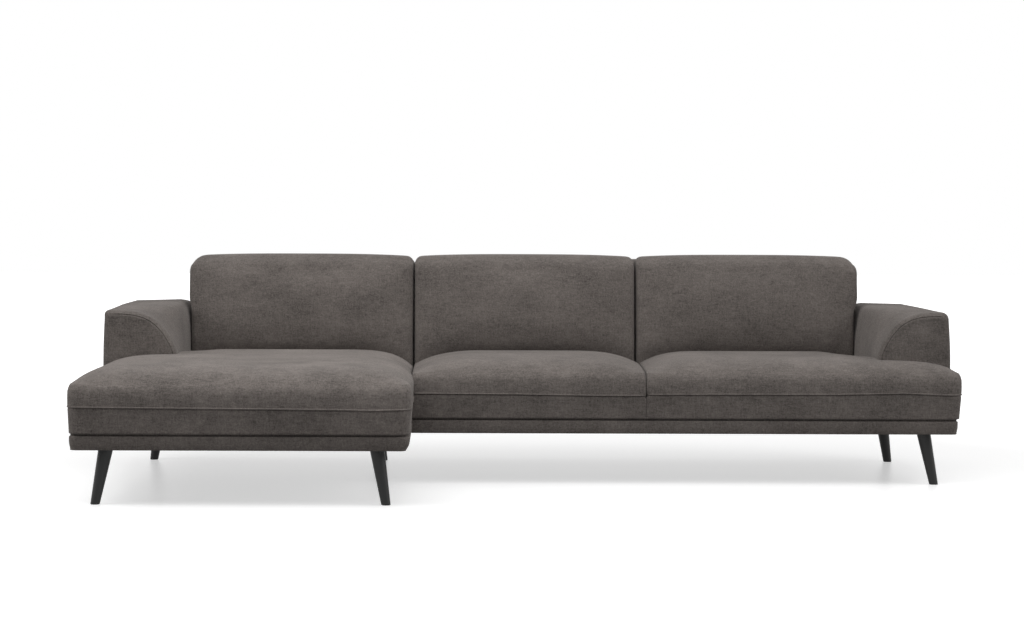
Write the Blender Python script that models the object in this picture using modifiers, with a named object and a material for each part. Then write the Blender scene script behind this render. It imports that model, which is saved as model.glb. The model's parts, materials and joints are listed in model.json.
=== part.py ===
"""A two-module sofa with a chaise: base boards, rails, webbing, foam, covers, backs, arms and legs.

Metres, +Z up. The front faces -Y and the chaise is on the -X side. The origin is on the floor,
under the middle of the overall width and depth.
"""

import math
from collections import namedtuple

import bmesh
import bpy
from mathutils import Matrix, Vector

# Overall plan
ARM_WIDTH = 0.256
CHAISE_SEAT_WIDTH = 0.844
SOFA_SEAT_WIDTH = 0.834
CHAISE_DEPTH = 1.590
SOFA_DEPTH = 0.932

# Gaps between neighbouring pieces
GAP = 0.0003
MODULE_GAP = 0.001
CUSHION_GAP = 0.002

# Base boards, groove and frame, from the floor upwards
LEG_HEIGHT = 0.180
BOARD_HEIGHT = 0.0465
GROOVE_HEIGHT = 0.006
SIDE_BOARD_WIDTH = 0.060
BOARD_MARGIN = 0.008
BOARD_EDGE = 0.006
BOARD_EDGE_STEPS = 2
RAIL_HEIGHT = 0.050
RAIL_THICKNESS = 0.030
RAIL_CHAMFER = 0.002
SKIRT_THICKNESS = 0.020
MAT_THICKNESS = 0.003
MAT_LAP = 0.010
STRAP_WIDTH = 0.070
STRAP_SPACING = 0.210
DUST_COVER_THICKNESS = 0.002
DUST_COVER_RECESS = 0.004

# Seats
FOAM_THICKNESS = 0.105
FOAM_EDGE = 0.008
COVER_THICKNESS = 0.020
SEAT_EDGE_HEIGHT = 0.161
SEAT_WIDEST_HEIGHT = 0.134
SEAT_REAR_RISE = 0.204
SOFA_CROWN = 0.047
CHAISE_CROWN = 0.0565
REAR_FALL_REACH = 0.350
SEAT_BULGE = 0.010
SEAT_END_BULGE = 0.0145
CHAISE_SIDE_BULGE = 0.016
CHAISE_SIDE_FADE = 0.120
BULGE_POWER = 3.0
CROWN_REACH = 0.260
FREE_POWER = 3.0
VALLEY_POWER = 2.4
FREE_EDGE_INSET = 0.012
VALLEY_EDGE_INSET = 0.004
FREE_CORNER = 0.035
VALLEY_CORNER = 0.012
VALLEY_SINK = 0.006
SINK_REACH = 0.080
SPLIT_SLANT = 0.010
SLANT_POWER = 4.0
LEFT_ARM_DIP = 0.009
RIGHT_ARM_DIP = 0.018
ARM_DIP_REACH = 0.160

# Arms
ARM_SETBACK = 0.112
ARM_TOP = 0.607
ARM_FRONT_TOP = 0.601
ARM_CROWN = 0.009
ARM_SHOULDER = 0.400
ARM_OUTER_RADIUS = 0.024
ARM_FRONT_ROLL = 0.012
ARM_FRONT_POWER = 3.0
ARM_REAR_POWER = 10.0
ARM_HEIGHT_POWER = 2.13
ARM_BLEND_LENGTH = 0.450
ARM_PANEL_TOP = 0.520
PANEL_THICKNESS = 0.018

# Back and back cushions
BACK_TOP = 0.775
BACK_THICKNESS = 0.110
BACK_EDGE = 0.020
BACK_EDGE_STEPS = 3
BACK_PANEL_TOP = 0.730
CUSHION_TOP = 0.797
CUSHION_DEPTH = 0.150
CUSHION_BULGE = 0.024
CUSHION_BULGE_PEAK = 0.28
CUSHION_UNDER_POWER = 2.6
EDGE_SWELL_LEFT = 0.35
CUSHION_RECLINE = 0.026
CUSHION_CROWN = 0.009
CUSHION_CROWN_POWER = 3.0
CUSHION_SIDE_SWELL = 0.0155
CUSHION_SIDE_SWELL_START = 0.615
CUSHION_SIDE_SWELL_REACH = 0.080
CUSHION_SIDE_SWELL_POWER = 3.0
CUSHION_OUTER_CORNER = 0.058
CUSHION_INNER_CORNER = 0.026
CUSHION_TOP_ROLL = 0.050
CUSHION_SIDE_ROLL = 0.022
CUSHION_SEAT_CLEARANCE = 0.002

# Legs, their plates and bolts
LEG_TOP_RADIUS = 0.0265
LEG_FOOT_RADIUS = 0.0155
LEG_SPLAY = 0.0285
LEG_FRONT_INSET = 0.055
LEG_REAR_INSET = 0.095
LEG_SIDE_INSET_FRONT = 0.079
LEG_SIDE_INSET_REAR = 0.098
LEG_INNER_INSET_FRONT = 0.073
LEG_INNER_INSET_REAR = 0.126
LEG_SIDES = 28
PLATE_SIZE = 0.080
PLATE_THICKNESS = 0.0025
BOLT_RADIUS = 0.004
BOLT_IN_LEG = 0.030
BOLT_IN_BOARD = 0.015
BOLT_SIDES = 12

# Linking plates between the modules
LINK_LENGTH = 0.090
LINK_WIDTH = 0.040
LINK_THICKNESS = 0.004
LINK_INSET = 0.080

# Places worked out from the sizes above
WIDTH = 2.0 * ARM_WIDTH + CHAISE_SEAT_WIDTH + 2.0 * SOFA_SEAT_WIDTH
LEFT = -WIDTH / 2.0
RIGHT = WIDTH / 2.0
BACK = (CHAISE_DEPTH + SEAT_BULGE) / 2.0
CHAISE_FRONT = BACK - CHAISE_DEPTH
SOFA_FRONT = BACK - SOFA_DEPTH
ARM_FRONT = SOFA_FRONT + ARM_SETBACK
LEFT_ARM_INNER = LEFT + ARM_WIDTH
RIGHT_ARM_INNER = RIGHT - ARM_WIDTH
MODULE_PLANE = LEFT_ARM_INNER + CHAISE_SEAT_WIDTH
SEAT_SPLIT = MODULE_PLANE + SOFA_SEAT_WIDTH
CHAISE_RIGHT = MODULE_PLANE - MODULE_GAP / 2.0
SOFA_LEFT = MODULE_PLANE + MODULE_GAP / 2.0
BOARD_BOTTOM = LEG_HEIGHT
BOARD_TOP = BOARD_BOTTOM + BOARD_HEIGHT
BOARD_DEPTH = max(LEG_FRONT_INSET, LEG_REAR_INSET) + LEG_SPLAY + PLATE_SIZE / 2.0 + BOARD_MARGIN
SEAT_BOTTOM = BOARD_TOP + GROOVE_HEIGHT
RAIL_BOTTOM = BOARD_TOP + GAP
RAIL_TOP = RAIL_BOTTOM + RAIL_HEIGHT
MAT_BOTTOM = RAIL_TOP + GAP
DECK = MAT_BOTTOM + MAT_THICKNESS
FOAM_BOTTOM = DECK + GAP
FOAM_TOP = FOAM_BOTTOM + FOAM_THICKNESS
RAIL_INSET = SKIRT_THICKNESS + GAP
BACK_FACE = BACK - BACK_THICKNESS
CUSHION_REAR = BACK_FACE - GAP
CUSHION_FACE = CUSHION_REAR - CUSHION_DEPTH
SEAT_REAR = CUSHION_FACE - GAP
EDGE_RISE = math.sqrt(1.0 - (1.0 - FREE_EDGE_INSET / CROWN_REACH) ** FREE_POWER)
PLATE_TOP = LEG_HEIGHT - GAP
LEG_TOP = PLATE_TOP - PLATE_THICKNESS - GAP

# The angle past which a round piece's rim is shaded sharp
RIM_ANGLE = math.radians(40.0)

# How far a cutter runs past the face that it opens
CUT_THROUGH = 0.100

# How finely each soft form is divided along X, Y and Z, and the level of a cushion's row at the seat's top
CHAISE_CELLS = (12, 14, 5)
CENTRE_CELLS = (10, 10, 5)
RIGHT_CELLS = (12, 10, 5)
CUSHION_CELLS = (10, 4, 10)
CUSHION_FOOT_LEVEL = -0.4

# The points round an arm's section, how they crowd towards its top, and its sections along the depth
ARM_CORNER_STEPS = 4
ARM_TOP_STEPS = 12
ARM_STEP_EASE = 0.8
ARM_ROLL_STEPS = 3
ARM_BODY_STATIONS = 9

COLLECTION_NAME = "sofa_with_chaise"
CUTTER_COLLECTION_NAME = "cutters"

Finish = namedtuple("Finish", "colour roughness metallic")
FABRIC = Finish((0.130, 0.115, 0.106), 0.92, 0.0)
TIMBER = Finish((0.52, 0.36, 0.20), 0.70, 0.0)
BLACK_WOOD = Finish((0.012, 0.012, 0.012), 0.38, 0.0)
FOAM = Finish((0.80, 0.76, 0.60), 0.95, 0.0)
WEBBING = Finish((0.10, 0.09, 0.08), 0.85, 0.0)
DUST_CLOTH = Finish((0.02, 0.02, 0.02), 0.95, 0.0)
STEEL = Finish((0.45, 0.45, 0.46), 0.35, 1.0)

Side = namedtuple("Side", "bulge free corner sink slant")
FREE_SIDE = Side(SEAT_END_BULGE, 1.0, FREE_CORNER, 0.0, 0.0)
MODULE_SIDE = Side(0.0, 0.0, VALLEY_CORNER, VALLEY_SINK, 0.0)
SPLIT_SIDE = Side(0.0, 0.0, VALLEY_CORNER, 0.0, SPLIT_SLANT)

CushionEnd = namedtuple("CushionEnd", "corner swell")
OUTER_END = CushionEnd(CUSHION_OUTER_CORNER, CUSHION_SIDE_SWELL)
INNER_END = CushionEnd(CUSHION_INNER_CORNER, 0.0)

Seat = namedtuple("Seat", "low_x high_x front left right crown dip_x dip")

Module = namedtuple("Module", "name left right front")
CHAISE = Module("chaise", LEFT, CHAISE_RIGHT, CHAISE_FRONT)
SOFA = Module("sofa", SOFA_LEFT, RIGHT, SOFA_FRONT)


def clear_scene():
    """Remove whatever the opened file holds."""
    for thing in list(bpy.data.objects):
        bpy.data.objects.remove(thing, do_unlink=True)


def make_collection(name):
    """A new collection under the scene's own."""
    collection = bpy.data.collections.new(name)
    bpy.context.scene.collection.children.link(collection)
    return collection


def make_material(name, finish):
    """One Principled material with a finish's colour, roughness and metallic value."""
    material = bpy.data.materials.new(name)
    material.use_nodes = True
    shader = material.node_tree.nodes["Principled BSDF"]
    shader.inputs["Base Color"].default_value = (*finish.colour, 1.0)
    shader.inputs["Roughness"].default_value = finish.roughness
    shader.inputs["Metallic"].default_value = finish.metallic
    return material


def add_piece(name, shape, place, finish, parent):
    """Turn a bmesh into a named sub-part at its place, with its own material."""
    mesh = bpy.data.meshes.new(name)
    shape.to_mesh(mesh)
    shape.free()
    piece = bpy.data.objects.new(name, mesh)
    piece.location = place
    piece.parent = parent
    mesh.materials.append(make_material(name, finish))
    bpy.data.collections[COLLECTION_NAME].objects.link(piece)
    return piece


def box_shape(size):
    """A bmesh box of a size, about its own centre."""
    shape = bmesh.new()
    bmesh.ops.create_cube(shape, size=1.0, matrix=Matrix.Diagonal((*size, 1.0)))
    return shape


def box_between(name, low, high, finish, parent, edge=0.0):
    """A box from its lowest to its highest corner, with rounded edges if it has an edge width."""
    size = Vector(high) - Vector(low)
    centre = (Vector(high) + Vector(low)) / 2.0
    piece = add_piece(name, box_shape(size), centre, finish, parent)
    if edge:
        round_edges(piece, edge)
    return piece


def round_edges(piece, width, segments=1):
    """Bevel every edge of a piece."""
    bevel = piece.modifiers.new("edges", "BEVEL")
    bevel.width = width
    bevel.segments = segments
    bevel.limit_method = "ANGLE"
    return bevel


def cutter_from(name, shape, place):
    """Turn a bmesh into a hidden cutter."""
    mesh = bpy.data.meshes.new(name)
    shape.to_mesh(mesh)
    shape.free()
    cutter = bpy.data.objects.new(name, mesh)
    cutter.location = place
    cutter.hide_render = True
    cutter.display_type = "WIRE"
    bpy.data.collections[CUTTER_COLLECTION_NAME].objects.link(cutter)
    return cutter


def box_cutter(name, low, high):
    """A box cutter from its lowest to its highest corner."""
    size = Vector(high) - Vector(low)
    centre = (Vector(high) + Vector(low)) / 2.0
    return cutter_from(name, box_shape(size), centre)


def cut(piece, *cutters):
    """Take each cutter out of a piece."""
    for cutter in cutters:
        boolean = piece.modifiers.new(cutter.name, "BOOLEAN")
        boolean.operation = "DIFFERENCE"
        boolean.solver = "EXACT"
        boolean.object = cutter


def leaning_rod(radius_low, radius_high, bottom, top, lean, sides):
    """A round rod with level ends: a cone whose rings slide sideways by lean per metre of height."""
    height = top - bottom
    shape = bmesh.new()
    bmesh.ops.create_cone(
        shape,
        cap_ends=True,
        segments=sides,
        radius1=radius_low,
        radius2=radius_high,
        depth=height,
        matrix=Matrix.Translation((0.0, 0.0, bottom + height / 2.0)),
    )
    for vertex in shape.verts:
        vertex.co.x += lean[0] * vertex.co.z
        vertex.co.y += lean[1] * vertex.co.z
    return shape


def smooth_sides(piece):
    """Shade a round piece smooth and keep its end rims sharp."""
    piece.data.shade_smooth()
    piece.data.set_sharp_from_angle(angle=RIM_ANGLE)


def divided_cube(cells):
    """A cube from -1 to 1 whose edges are divided into a number of cells along X, Y and Z."""
    shape = bmesh.new()
    bmesh.ops.create_cube(shape, size=2.0)
    for axis, count in enumerate(cells):
        along = [edge for edge in shape.edges if abs((edge.verts[0].co - edge.verts[1].co)[axis]) > 1.0]
        bmesh.ops.subdivide_edges(shape, edges=along, cuts=count - 1, use_grid_fill=True)
    return shape


def eased(value):
    """A place from 0 to 1 along a side, with the cells closer together near both ends."""
    return (1.0 + math.sin(value * math.pi / 2.0)) / 2.0


def smooth_step(value):
    """0 below 0, 1 above 1 and a smooth rise between."""
    held = min(max(value, 0.0), 1.0)
    return held * held * (3.0 - 2.0 * held)


def blend(first, second, share):
    """The value a share of the way from the first to the second."""
    return first + (second - first) * share


def held_share(value, reach):
    """A distance as a share of a reach, held at 1."""
    return min(max(value, 0.0), reach) / reach


def free_rise(distance):
    """A free edge's share of the crown: a round roll that leaves the edge steeply and ends level."""
    share = held_share(distance + FREE_EDGE_INSET, CROWN_REACH)
    roll = math.sqrt(1.0 - (1.0 - share) ** FREE_POWER)
    return (roll - EDGE_RISE) / (1.0 - EDGE_RISE)


def valley_rise(distance):
    """A valley edge's share of the crown: a flatter slope that ends level."""
    return 1.0 - (1.0 - held_share(distance, CROWN_REACH)) ** VALLEY_POWER


def side_rise(side, distance):
    """A side's share of the crown at a distance from it."""
    return blend(valley_rise(distance), free_rise(distance), side.free)


def near_edge(distance, reach):
    """1 at an edge and 0 at a reach from it, level at its far end."""
    left_over = 1.0 - held_share(distance, reach)
    return left_over * left_over


def round_corner(first, second, radius):
    """Two distances from a pair of faces, with the square corner between them made round."""
    if first >= radius or second >= radius:
        return first, second
    away_first = radius - first
    away_second = radius - second
    length = math.hypot(away_first, away_second)
    if length == 0.0:
        return first, second
    scale = max(away_first, away_second) / length
    return radius - away_first * scale, radius - away_second * scale


def wall_offset(height, bulge, edge_inset):
    """How far a wall stands out at a height: it swells to its widest place, then rolls in to the top edge."""
    if height < SEAT_WIDEST_HEIGHT:
        return bulge * math.sin(math.pi / 2.0 * height / SEAT_WIDEST_HEIGHT) ** BULGE_POWER
    climbed = (height - SEAT_WIDEST_HEIGHT) / (SEAT_EDGE_HEIGHT - SEAT_WIDEST_HEIGHT) * EDGE_RISE
    rolled_in = CROWN_REACH * (1.0 - (1.0 - climbed * climbed) ** (1.0 / FREE_POWER))
    return bulge - edge_inset * rolled_in / FREE_EDGE_INSET


def side_offset(side, height):
    """How far one side's wall stands out at a height."""
    inset = blend(VALLEY_EDGE_INSET, FREE_EDGE_INSET, side.free)
    return wall_offset(height, side.bulge, inset)


def chaise_right_side(world_y):
    """The chaise's right side: free in front of the two-seat module, and a valley beside it."""
    free = smooth_step((SOFA_FRONT - SEAT_BULGE - world_y) / CHAISE_SIDE_FADE)
    return Side(CHAISE_SIDE_BULGE * free, free, FREE_CORNER, VALLEY_SINK * (1.0 - free), 0.0)


def seat_top(x, y, width, depth, seat, left, right):
    """The height of a seat's top over its wall's edge.

    The crown times its share over the left, right and front sides, less the fall to the rear
    edge, the sink at a valley and the dip beside the arm.
    """
    crown = seat.crown * side_rise(left, x) * side_rise(right, width - x) * free_rise(y)
    fall = SEAT_EDGE_HEIGHT + seat.crown - SEAT_REAR_RISE
    crown -= fall * near_edge(depth - y, REAR_FALL_REACH)
    crown -= left.sink * near_edge(x, SINK_REACH) + right.sink * near_edge(width - x, SINK_REACH)
    back_share = smooth_step((seat.front + y - ARM_FRONT) / (SEAT_REAR - ARM_FRONT))
    beside = smooth_step(1.0 - abs(seat.low_x + x - seat.dip_x) / ARM_DIP_REACH)
    return crown - seat.dip * beside * back_share


def seat_point(place, seat, left, right):
    """A seat's surface point for a place on the divided cube, from its lowest left front corner."""
    width = seat.high_x - seat.low_x
    depth = SEAT_REAR - seat.front
    height_share = (place.z + 1.0) / 2.0
    wall = SEAT_EDGE_HEIGHT * height_share
    x = width * eased(place.x)
    y = depth * eased(place.y)
    if y < depth / 2.0:
        x, y = round_corner(x, y, left.corner)
        from_right, y = round_corner(width - x, y, right.corner)
        x = width - from_right
    top = seat_top(x, y, width, depth, seat, left, right)
    across = x / width
    along = y / depth
    slant = right.slant * across**SLANT_POWER + left.slant * (1.0 - across) ** SLANT_POWER
    slant *= 2.0 * along - 1.0
    out_x = x - side_offset(left, wall) * (1.0 - across) + side_offset(right, wall) * across + slant
    out_y = y - wall_offset(wall, SEAT_BULGE, FREE_EDGE_INSET) * (1.0 - along)
    return Vector((out_x, out_y, wall + top * height_share))


def make_seat_cover(name, seat, cells, parent):
    """A crowned seat cover with its topper, still solid. A seat's right is a Side, or a function of world Y."""
    depth = SEAT_REAR - seat.front
    shape = divided_cube(cells)
    for vertex in shape.verts:
        world_y = seat.front + depth * eased(vertex.co.y)
        right_here = seat.right(world_y) if callable(seat.right) else seat.right
        vertex.co = seat_point(vertex.co, seat, seat.left, right_here)
    cover = add_piece(name, shape, (seat.low_x, seat.front, SEAT_BOTTOM), FABRIC, parent)
    cover.data.shade_smooth()
    return cover


def foam_zone(name, low_x, high_x, front, rear):
    """The pocket for a foam slab inside a seat cover."""
    low = (low_x + COVER_THICKNESS, front + COVER_THICKNESS, DECK - MAT_THICKNESS)
    high = (high_x - COVER_THICKNESS, rear - COVER_THICKNESS, FOAM_TOP + GAP)
    return box_cutter(name, low, high)


def make_foam(name, low_x, high_x, front, parent):
    """A foam slab that fills its pocket with a gap all round."""
    inset = COVER_THICKNESS + GAP
    low = (low_x + inset, front + inset, FOAM_BOTTOM)
    high = (high_x - inset, SEAT_REAR - inset, FOAM_TOP)
    return box_between(name, low, high, FOAM, parent, FOAM_EDGE)


def arm_notch(name, inner, outer, clearance):
    """The space that an arm takes out of a seat piece, with a clearance round it."""
    low_x = outer - CUT_THROUGH if outer < inner else inner - clearance
    high_x = inner + clearance if outer < inner else outer + CUT_THROUGH
    low = (low_x, ARM_FRONT - clearance, -CUT_THROUGH)
    high = (high_x, BACK + CUT_THROUGH, ARM_TOP + CUT_THROUGH)
    return box_cutter(name, low, high)


def frame_zone(module):
    """The space behind a module's skirts and below its deck, which the rails and webbing fill."""
    low = (module.left + SKIRT_THICKNESS, module.front + SKIRT_THICKNESS, -CUT_THROUGH)
    high = (module.right - SKIRT_THICKNESS, BACK - SKIRT_THICKNESS, DECK + GAP)
    return box_cutter(module.name + "_frame_zone", low, high)


def make_base_boards(module, parent):
    """The four padded boards of a module's base: two deep ones across it and two narrow ones between."""
    name = module.name
    front_end = module.front + BOARD_DEPTH
    rear_start = BACK - BOARD_DEPTH
    boards = {}
    spans = {
        "front": ((module.left, module.front), (module.right, front_end)),
        "rear": ((module.left, rear_start), (module.right, BACK)),
        "left": ((module.left, front_end + GAP), (module.left + SIDE_BOARD_WIDTH, rear_start - GAP)),
        "right": ((module.right - SIDE_BOARD_WIDTH, front_end + GAP), (module.right, rear_start - GAP)),
    }
    for side, (low, high) in spans.items():
        board = box_between(f"{name}_base_{side}", (*low, BOARD_BOTTOM), (*high, BOARD_TOP), FABRIC, parent)
        round_edges(board, BOARD_EDGE, BOARD_EDGE_STEPS)
        boards[side] = board
    return boards


def make_rails(module, parent):
    """The seat frame's front, rear, left and right rails, butted end to side."""
    name = module.name
    left = module.left + RAIL_INSET
    right = module.right - RAIL_INSET
    front = module.front + RAIL_INSET
    rear = BACK - RAIL_INSET
    inner_front = front + RAIL_THICKNESS + GAP
    inner_rear = rear - RAIL_THICKNESS - GAP
    spans = {
        "front": ((left, front), (right, front + RAIL_THICKNESS)),
        "rear": ((left, rear - RAIL_THICKNESS), (right, rear)),
        "left": ((left, inner_front), (left + RAIL_THICKNESS, inner_rear)),
        "right": ((right - RAIL_THICKNESS, inner_front), (right, inner_rear)),
    }
    for side, (low, high) in spans.items():
        box_between(
            f"{name}_rail_{side}", (*low, RAIL_BOTTOM), (*high, RAIL_TOP), TIMBER, parent, RAIL_CHAMFER
        )


def make_chaise_cross_rail(parent):
    """The chaise's cross rail, from side rail to side rail, under the front of the arm."""
    inset = RAIL_INSET + RAIL_THICKNESS + GAP
    low = (LEFT + inset, ARM_FRONT - RAIL_THICKNESS, RAIL_BOTTOM)
    high = (CHAISE_RIGHT - inset, ARM_FRONT, RAIL_TOP)
    box_between("chaise_rail_middle", low, high, TIMBER, parent, RAIL_CHAMFER)


def make_sofa_cross_rail(parent):
    """The two-seat module's cross rail, from front rail to rear rail, under the seat split."""
    inset = RAIL_INSET + RAIL_THICKNESS + GAP
    low = (SEAT_SPLIT - RAIL_THICKNESS / 2.0, SOFA_FRONT + inset, RAIL_BOTTOM)
    high = (SEAT_SPLIT + RAIL_THICKNESS / 2.0, BACK - inset, RAIL_TOP)
    box_between("sofa_rail_middle", low, high, TIMBER, parent, RAIL_CHAMFER)


def strap_lines(low, high):
    """The edges of the straps across a span: the first and last strap lie on the rails."""
    count = max(2, round((high - low - STRAP_WIDTH) / STRAP_SPACING) + 1)
    pitch = (high - low - STRAP_WIDTH) / (count - 1)
    lines = []
    for number in range(count):
        start = low + pitch * number
        lines.extend((start, start + STRAP_WIDTH))
    return lines


def make_webbing(module, parent):
    """Woven straps stapled over the rails, as one mat with square openings."""
    inset = RAIL_INSET + RAIL_THICKNESS - MAT_LAP
    low_x = module.left + inset
    low_y = module.front + inset
    lines_x = strap_lines(0.0, module.right - inset - low_x)
    lines_y = strap_lines(0.0, BACK - inset - low_y)
    cells_x = len(lines_x) - 1
    cells_y = len(lines_y) - 1
    shape = bmesh.new()
    bmesh.ops.create_grid(shape, x_segments=cells_x, y_segments=cells_y, size=1.0)
    holes = []
    for face in shape.faces:
        centre = face.calc_center_median()
        column = int((centre.x + 1.0) / 2.0 * cells_x)
        row = int((centre.y + 1.0) / 2.0 * cells_y)
        if column % 2 == 1 and row % 2 == 1:
            holes.append(face)
    for vertex in shape.verts:
        column = round((vertex.co.x + 1.0) / 2.0 * cells_x)
        row = round((vertex.co.y + 1.0) / 2.0 * cells_y)
        vertex.co.x = lines_x[column]
        vertex.co.y = lines_y[row]
    bmesh.ops.delete(shape, geom=holes, context="FACES")
    mat = add_piece(f"{module.name}_webbing", shape, (low_x, low_y, MAT_BOTTOM), WEBBING, parent)
    solid = mat.modifiers.new("thickness", "SOLIDIFY")
    solid.thickness = MAT_THICKNESS
    solid.offset = 1.0


def make_dust_cover(module, parent):
    """The cloth that closes the underside between the base boards."""
    bottom = BOARD_BOTTOM + DUST_COVER_RECESS
    side = SIDE_BOARD_WIDTH + GAP
    low = (module.left + side, module.front + BOARD_DEPTH + GAP, bottom)
    high = (module.right - side, BACK - BOARD_DEPTH - GAP, bottom + DUST_COVER_THICKNESS)
    box_between(f"{module.name}_dust_cover", low, high, DUST_CLOTH, parent)


def arm_section(y):
    """An arm's outline from its outer foot over the top to its inner foot, at a depth behind its front.

    The top is a superellipse: a big soft roll at the front that becomes nearly square at the back.
    """
    share = smooth_step(y / ARM_BLEND_LENGTH)
    power = blend(ARM_FRONT_POWER, ARM_REAR_POWER, share)
    top = blend(ARM_FRONT_TOP, ARM_TOP, share)
    crown = ARM_CROWN * share
    outline = [(0.0, 0.0), (0.0, top - ARM_OUTER_RADIUS - SEAT_BOTTOM)]
    for step in range(1, ARM_CORNER_STEPS):
        angle = math.pi / 2.0 * step / ARM_CORNER_STEPS
        across = ARM_OUTER_RADIUS * (1.0 - math.cos(angle))
        down = ARM_OUTER_RADIUS * (1.0 - math.sin(angle))
        outline.append((across, top - down - SEAT_BOTTOM))
    first = ARM_OUTER_RADIUS / ARM_WIDTH
    first_angle = math.asin(first ** (power / 2.0))
    for step in range(ARM_TOP_STEPS):
        angle = blend(first_angle, math.pi / 2.0, (step / ARM_TOP_STEPS) ** ARM_STEP_EASE)
        across = math.sin(angle) ** (2.0 / power)
        height = math.cos(angle) ** (2.0 / ARM_HEIGHT_POWER)
        peak = top + crown * math.sin(math.pi * across)
        outline.append((ARM_WIDTH * across, blend(ARM_SHOULDER, peak, height) - SEAT_BOTTOM))
    outline.append((ARM_WIDTH, ARM_SHOULDER - SEAT_BOTTOM))
    outline.append((ARM_WIDTH, 0.0))
    return outline


def shrink(outline, inset):
    """An outline drawn in by an inset at the sides and top, with its foot left at the bottom."""
    middle = ARM_WIDTH / 2.0
    top = max(height for _, height in outline)
    drawn = []
    for across, height in outline:
        drawn.append((middle + (across - middle) * (1.0 - inset / middle), height * (1.0 - inset / top)))
    return drawn


def arm_stations(depth):
    """Depths and insets of an arm's sections: rolled front edge, body, rolled rear edge."""
    roll = ARM_FRONT_ROLL
    stations = []
    for step in range(ARM_ROLL_STEPS):
        angle = math.pi / 2.0 * step / ARM_ROLL_STEPS
        stations.append((roll * (1.0 - math.cos(angle)), roll * (1.0 - math.sin(angle))))
    for step in range(ARM_BODY_STATIONS + 1):
        stations.append((blend(roll, depth - roll, step / ARM_BODY_STATIONS), 0.0))
    stations.append((depth, roll))
    return stations


def make_arm_cover(name, outer, inward, parent):
    """An upholstered arm lofted through its sections. inward is 1 for the left arm and -1 for the right."""
    width_taken = ARM_WIDTH - GAP
    shape = bmesh.new()
    rings = []
    for depth, inset in arm_stations(BACK - ARM_FRONT):
        ring = []
        for across, height in shrink(arm_section(depth), inset):
            x = inward * across * width_taken / ARM_WIDTH
            ring.append(shape.verts.new((x, depth, height)))
        rings.append(ring)
    for near, far in zip(rings, rings[1:]):
        for index in range(len(near)):
            after = (index + 1) % len(near)
            shape.faces.new((near[index], near[after], far[after], far[index]))
    shape.faces.new(rings[0])
    shape.faces.new(reversed(rings[-1]))
    bmesh.ops.recalc_face_normals(shape, faces=shape.faces)
    cover = add_piece(name, shape, (outer, ARM_FRONT, SEAT_BOTTOM), FABRIC, parent)
    cover.data.shade_smooth()
    return cover


def make_arm(side, outer, inward, zone, parent):
    """An arm: its timber panel on the side rail and the upholstered cover over it."""
    near = outer + inward * RAIL_INSET
    far = near + inward * PANEL_THICKNESS
    low = (min(near, far), ARM_FRONT + ARM_FRONT_ROLL + COVER_THICKNESS, RAIL_TOP + GAP)
    high = (max(near, far), BACK - RAIL_INSET - RAIL_THICKNESS - GAP, ARM_PANEL_TOP)
    box_between(f"{side}_arm_panel", low, high, TIMBER, parent)
    cover = make_arm_cover(f"{side}_arm", outer, inward, parent)
    slot_low = (low[0] - GAP, low[1] - GAP, DECK - MAT_THICKNESS)
    slot_high = (high[0] + GAP, high[1] + GAP, high[2] + GAP)
    cut(cover, zone, box_cutter(f"{side}_arm_slot", slot_low, slot_high))


def make_back(module, low_x, high_x, zone, parent):
    """A module's outer back: its timber panel on the rear rail and the upholstered cover over it."""
    rear = BACK - RAIL_INSET
    inset = SKIRT_THICKNESS + GAP
    low = (low_x + inset, rear - PANEL_THICKNESS, RAIL_TOP + GAP)
    high = (high_x - inset, rear, BACK_PANEL_TOP)
    box_between(f"{module.name}_back_panel", low, high, TIMBER, parent)
    cover = box_between(
        f"{module.name}_back", (low_x, BACK_FACE, SEAT_BOTTOM), (high_x, BACK, BACK_TOP), FABRIC, parent
    )
    bevel = round_edges(cover, BACK_EDGE, BACK_EDGE_STEPS)
    bevel.limit_method = "WEIGHT"
    weights = cover.data.attributes.new("bevel_weight_edge", "FLOAT", "EDGE")
    for edge in cover.data.edges:
        heights = [cover.data.vertices[index].co.z for index in edge.vertices]
        weights.data[edge.index].value = 1.0 if min(heights) > 0.0 else 0.0
    slot_low = (low[0] - GAP, low[1] - GAP, DECK - MAT_THICKNESS)
    slot_high = (high[0] + GAP, high[1] + GAP, high[2] + GAP)
    cut(cover, zone, box_cutter(f"{module.name}_back_slot", slot_low, slot_high))


def cushion_height(level, height):
    """A back cushion's height at a level from -1 to 1, and its share of the way from the seat to the top.

    The hidden foot comes first, with a share of 0. The levels over it lie closer towards the top.
    """
    seat_top_height = SEAT_BOTTOM + SEAT_REAR_RISE + CUSHION_SEAT_CLEARANCE - FOAM_BOTTOM
    if level <= CUSHION_FOOT_LEVEL:
        return seat_top_height * (level + 1.0) / (CUSHION_FOOT_LEVEL + 1.0), 0.0
    share = math.sin(math.pi / 2.0 * (level - CUSHION_FOOT_LEVEL) / (1.0 - CUSHION_FOOT_LEVEL))
    return blend(seat_top_height, height, share), share


def cushion_swell(share):
    """The face's swell at a share of the height: it rolls out quickly over the seat and eases off upwards."""
    if share < CUSHION_BULGE_PEAK:
        return 1.0 - (1.0 - share / CUSHION_BULGE_PEAK) ** CUSHION_UNDER_POWER
    upper = (share - CUSHION_BULGE_PEAK) / (1.0 - CUSHION_BULGE_PEAK)
    return 1.0 - upper * upper


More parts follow.
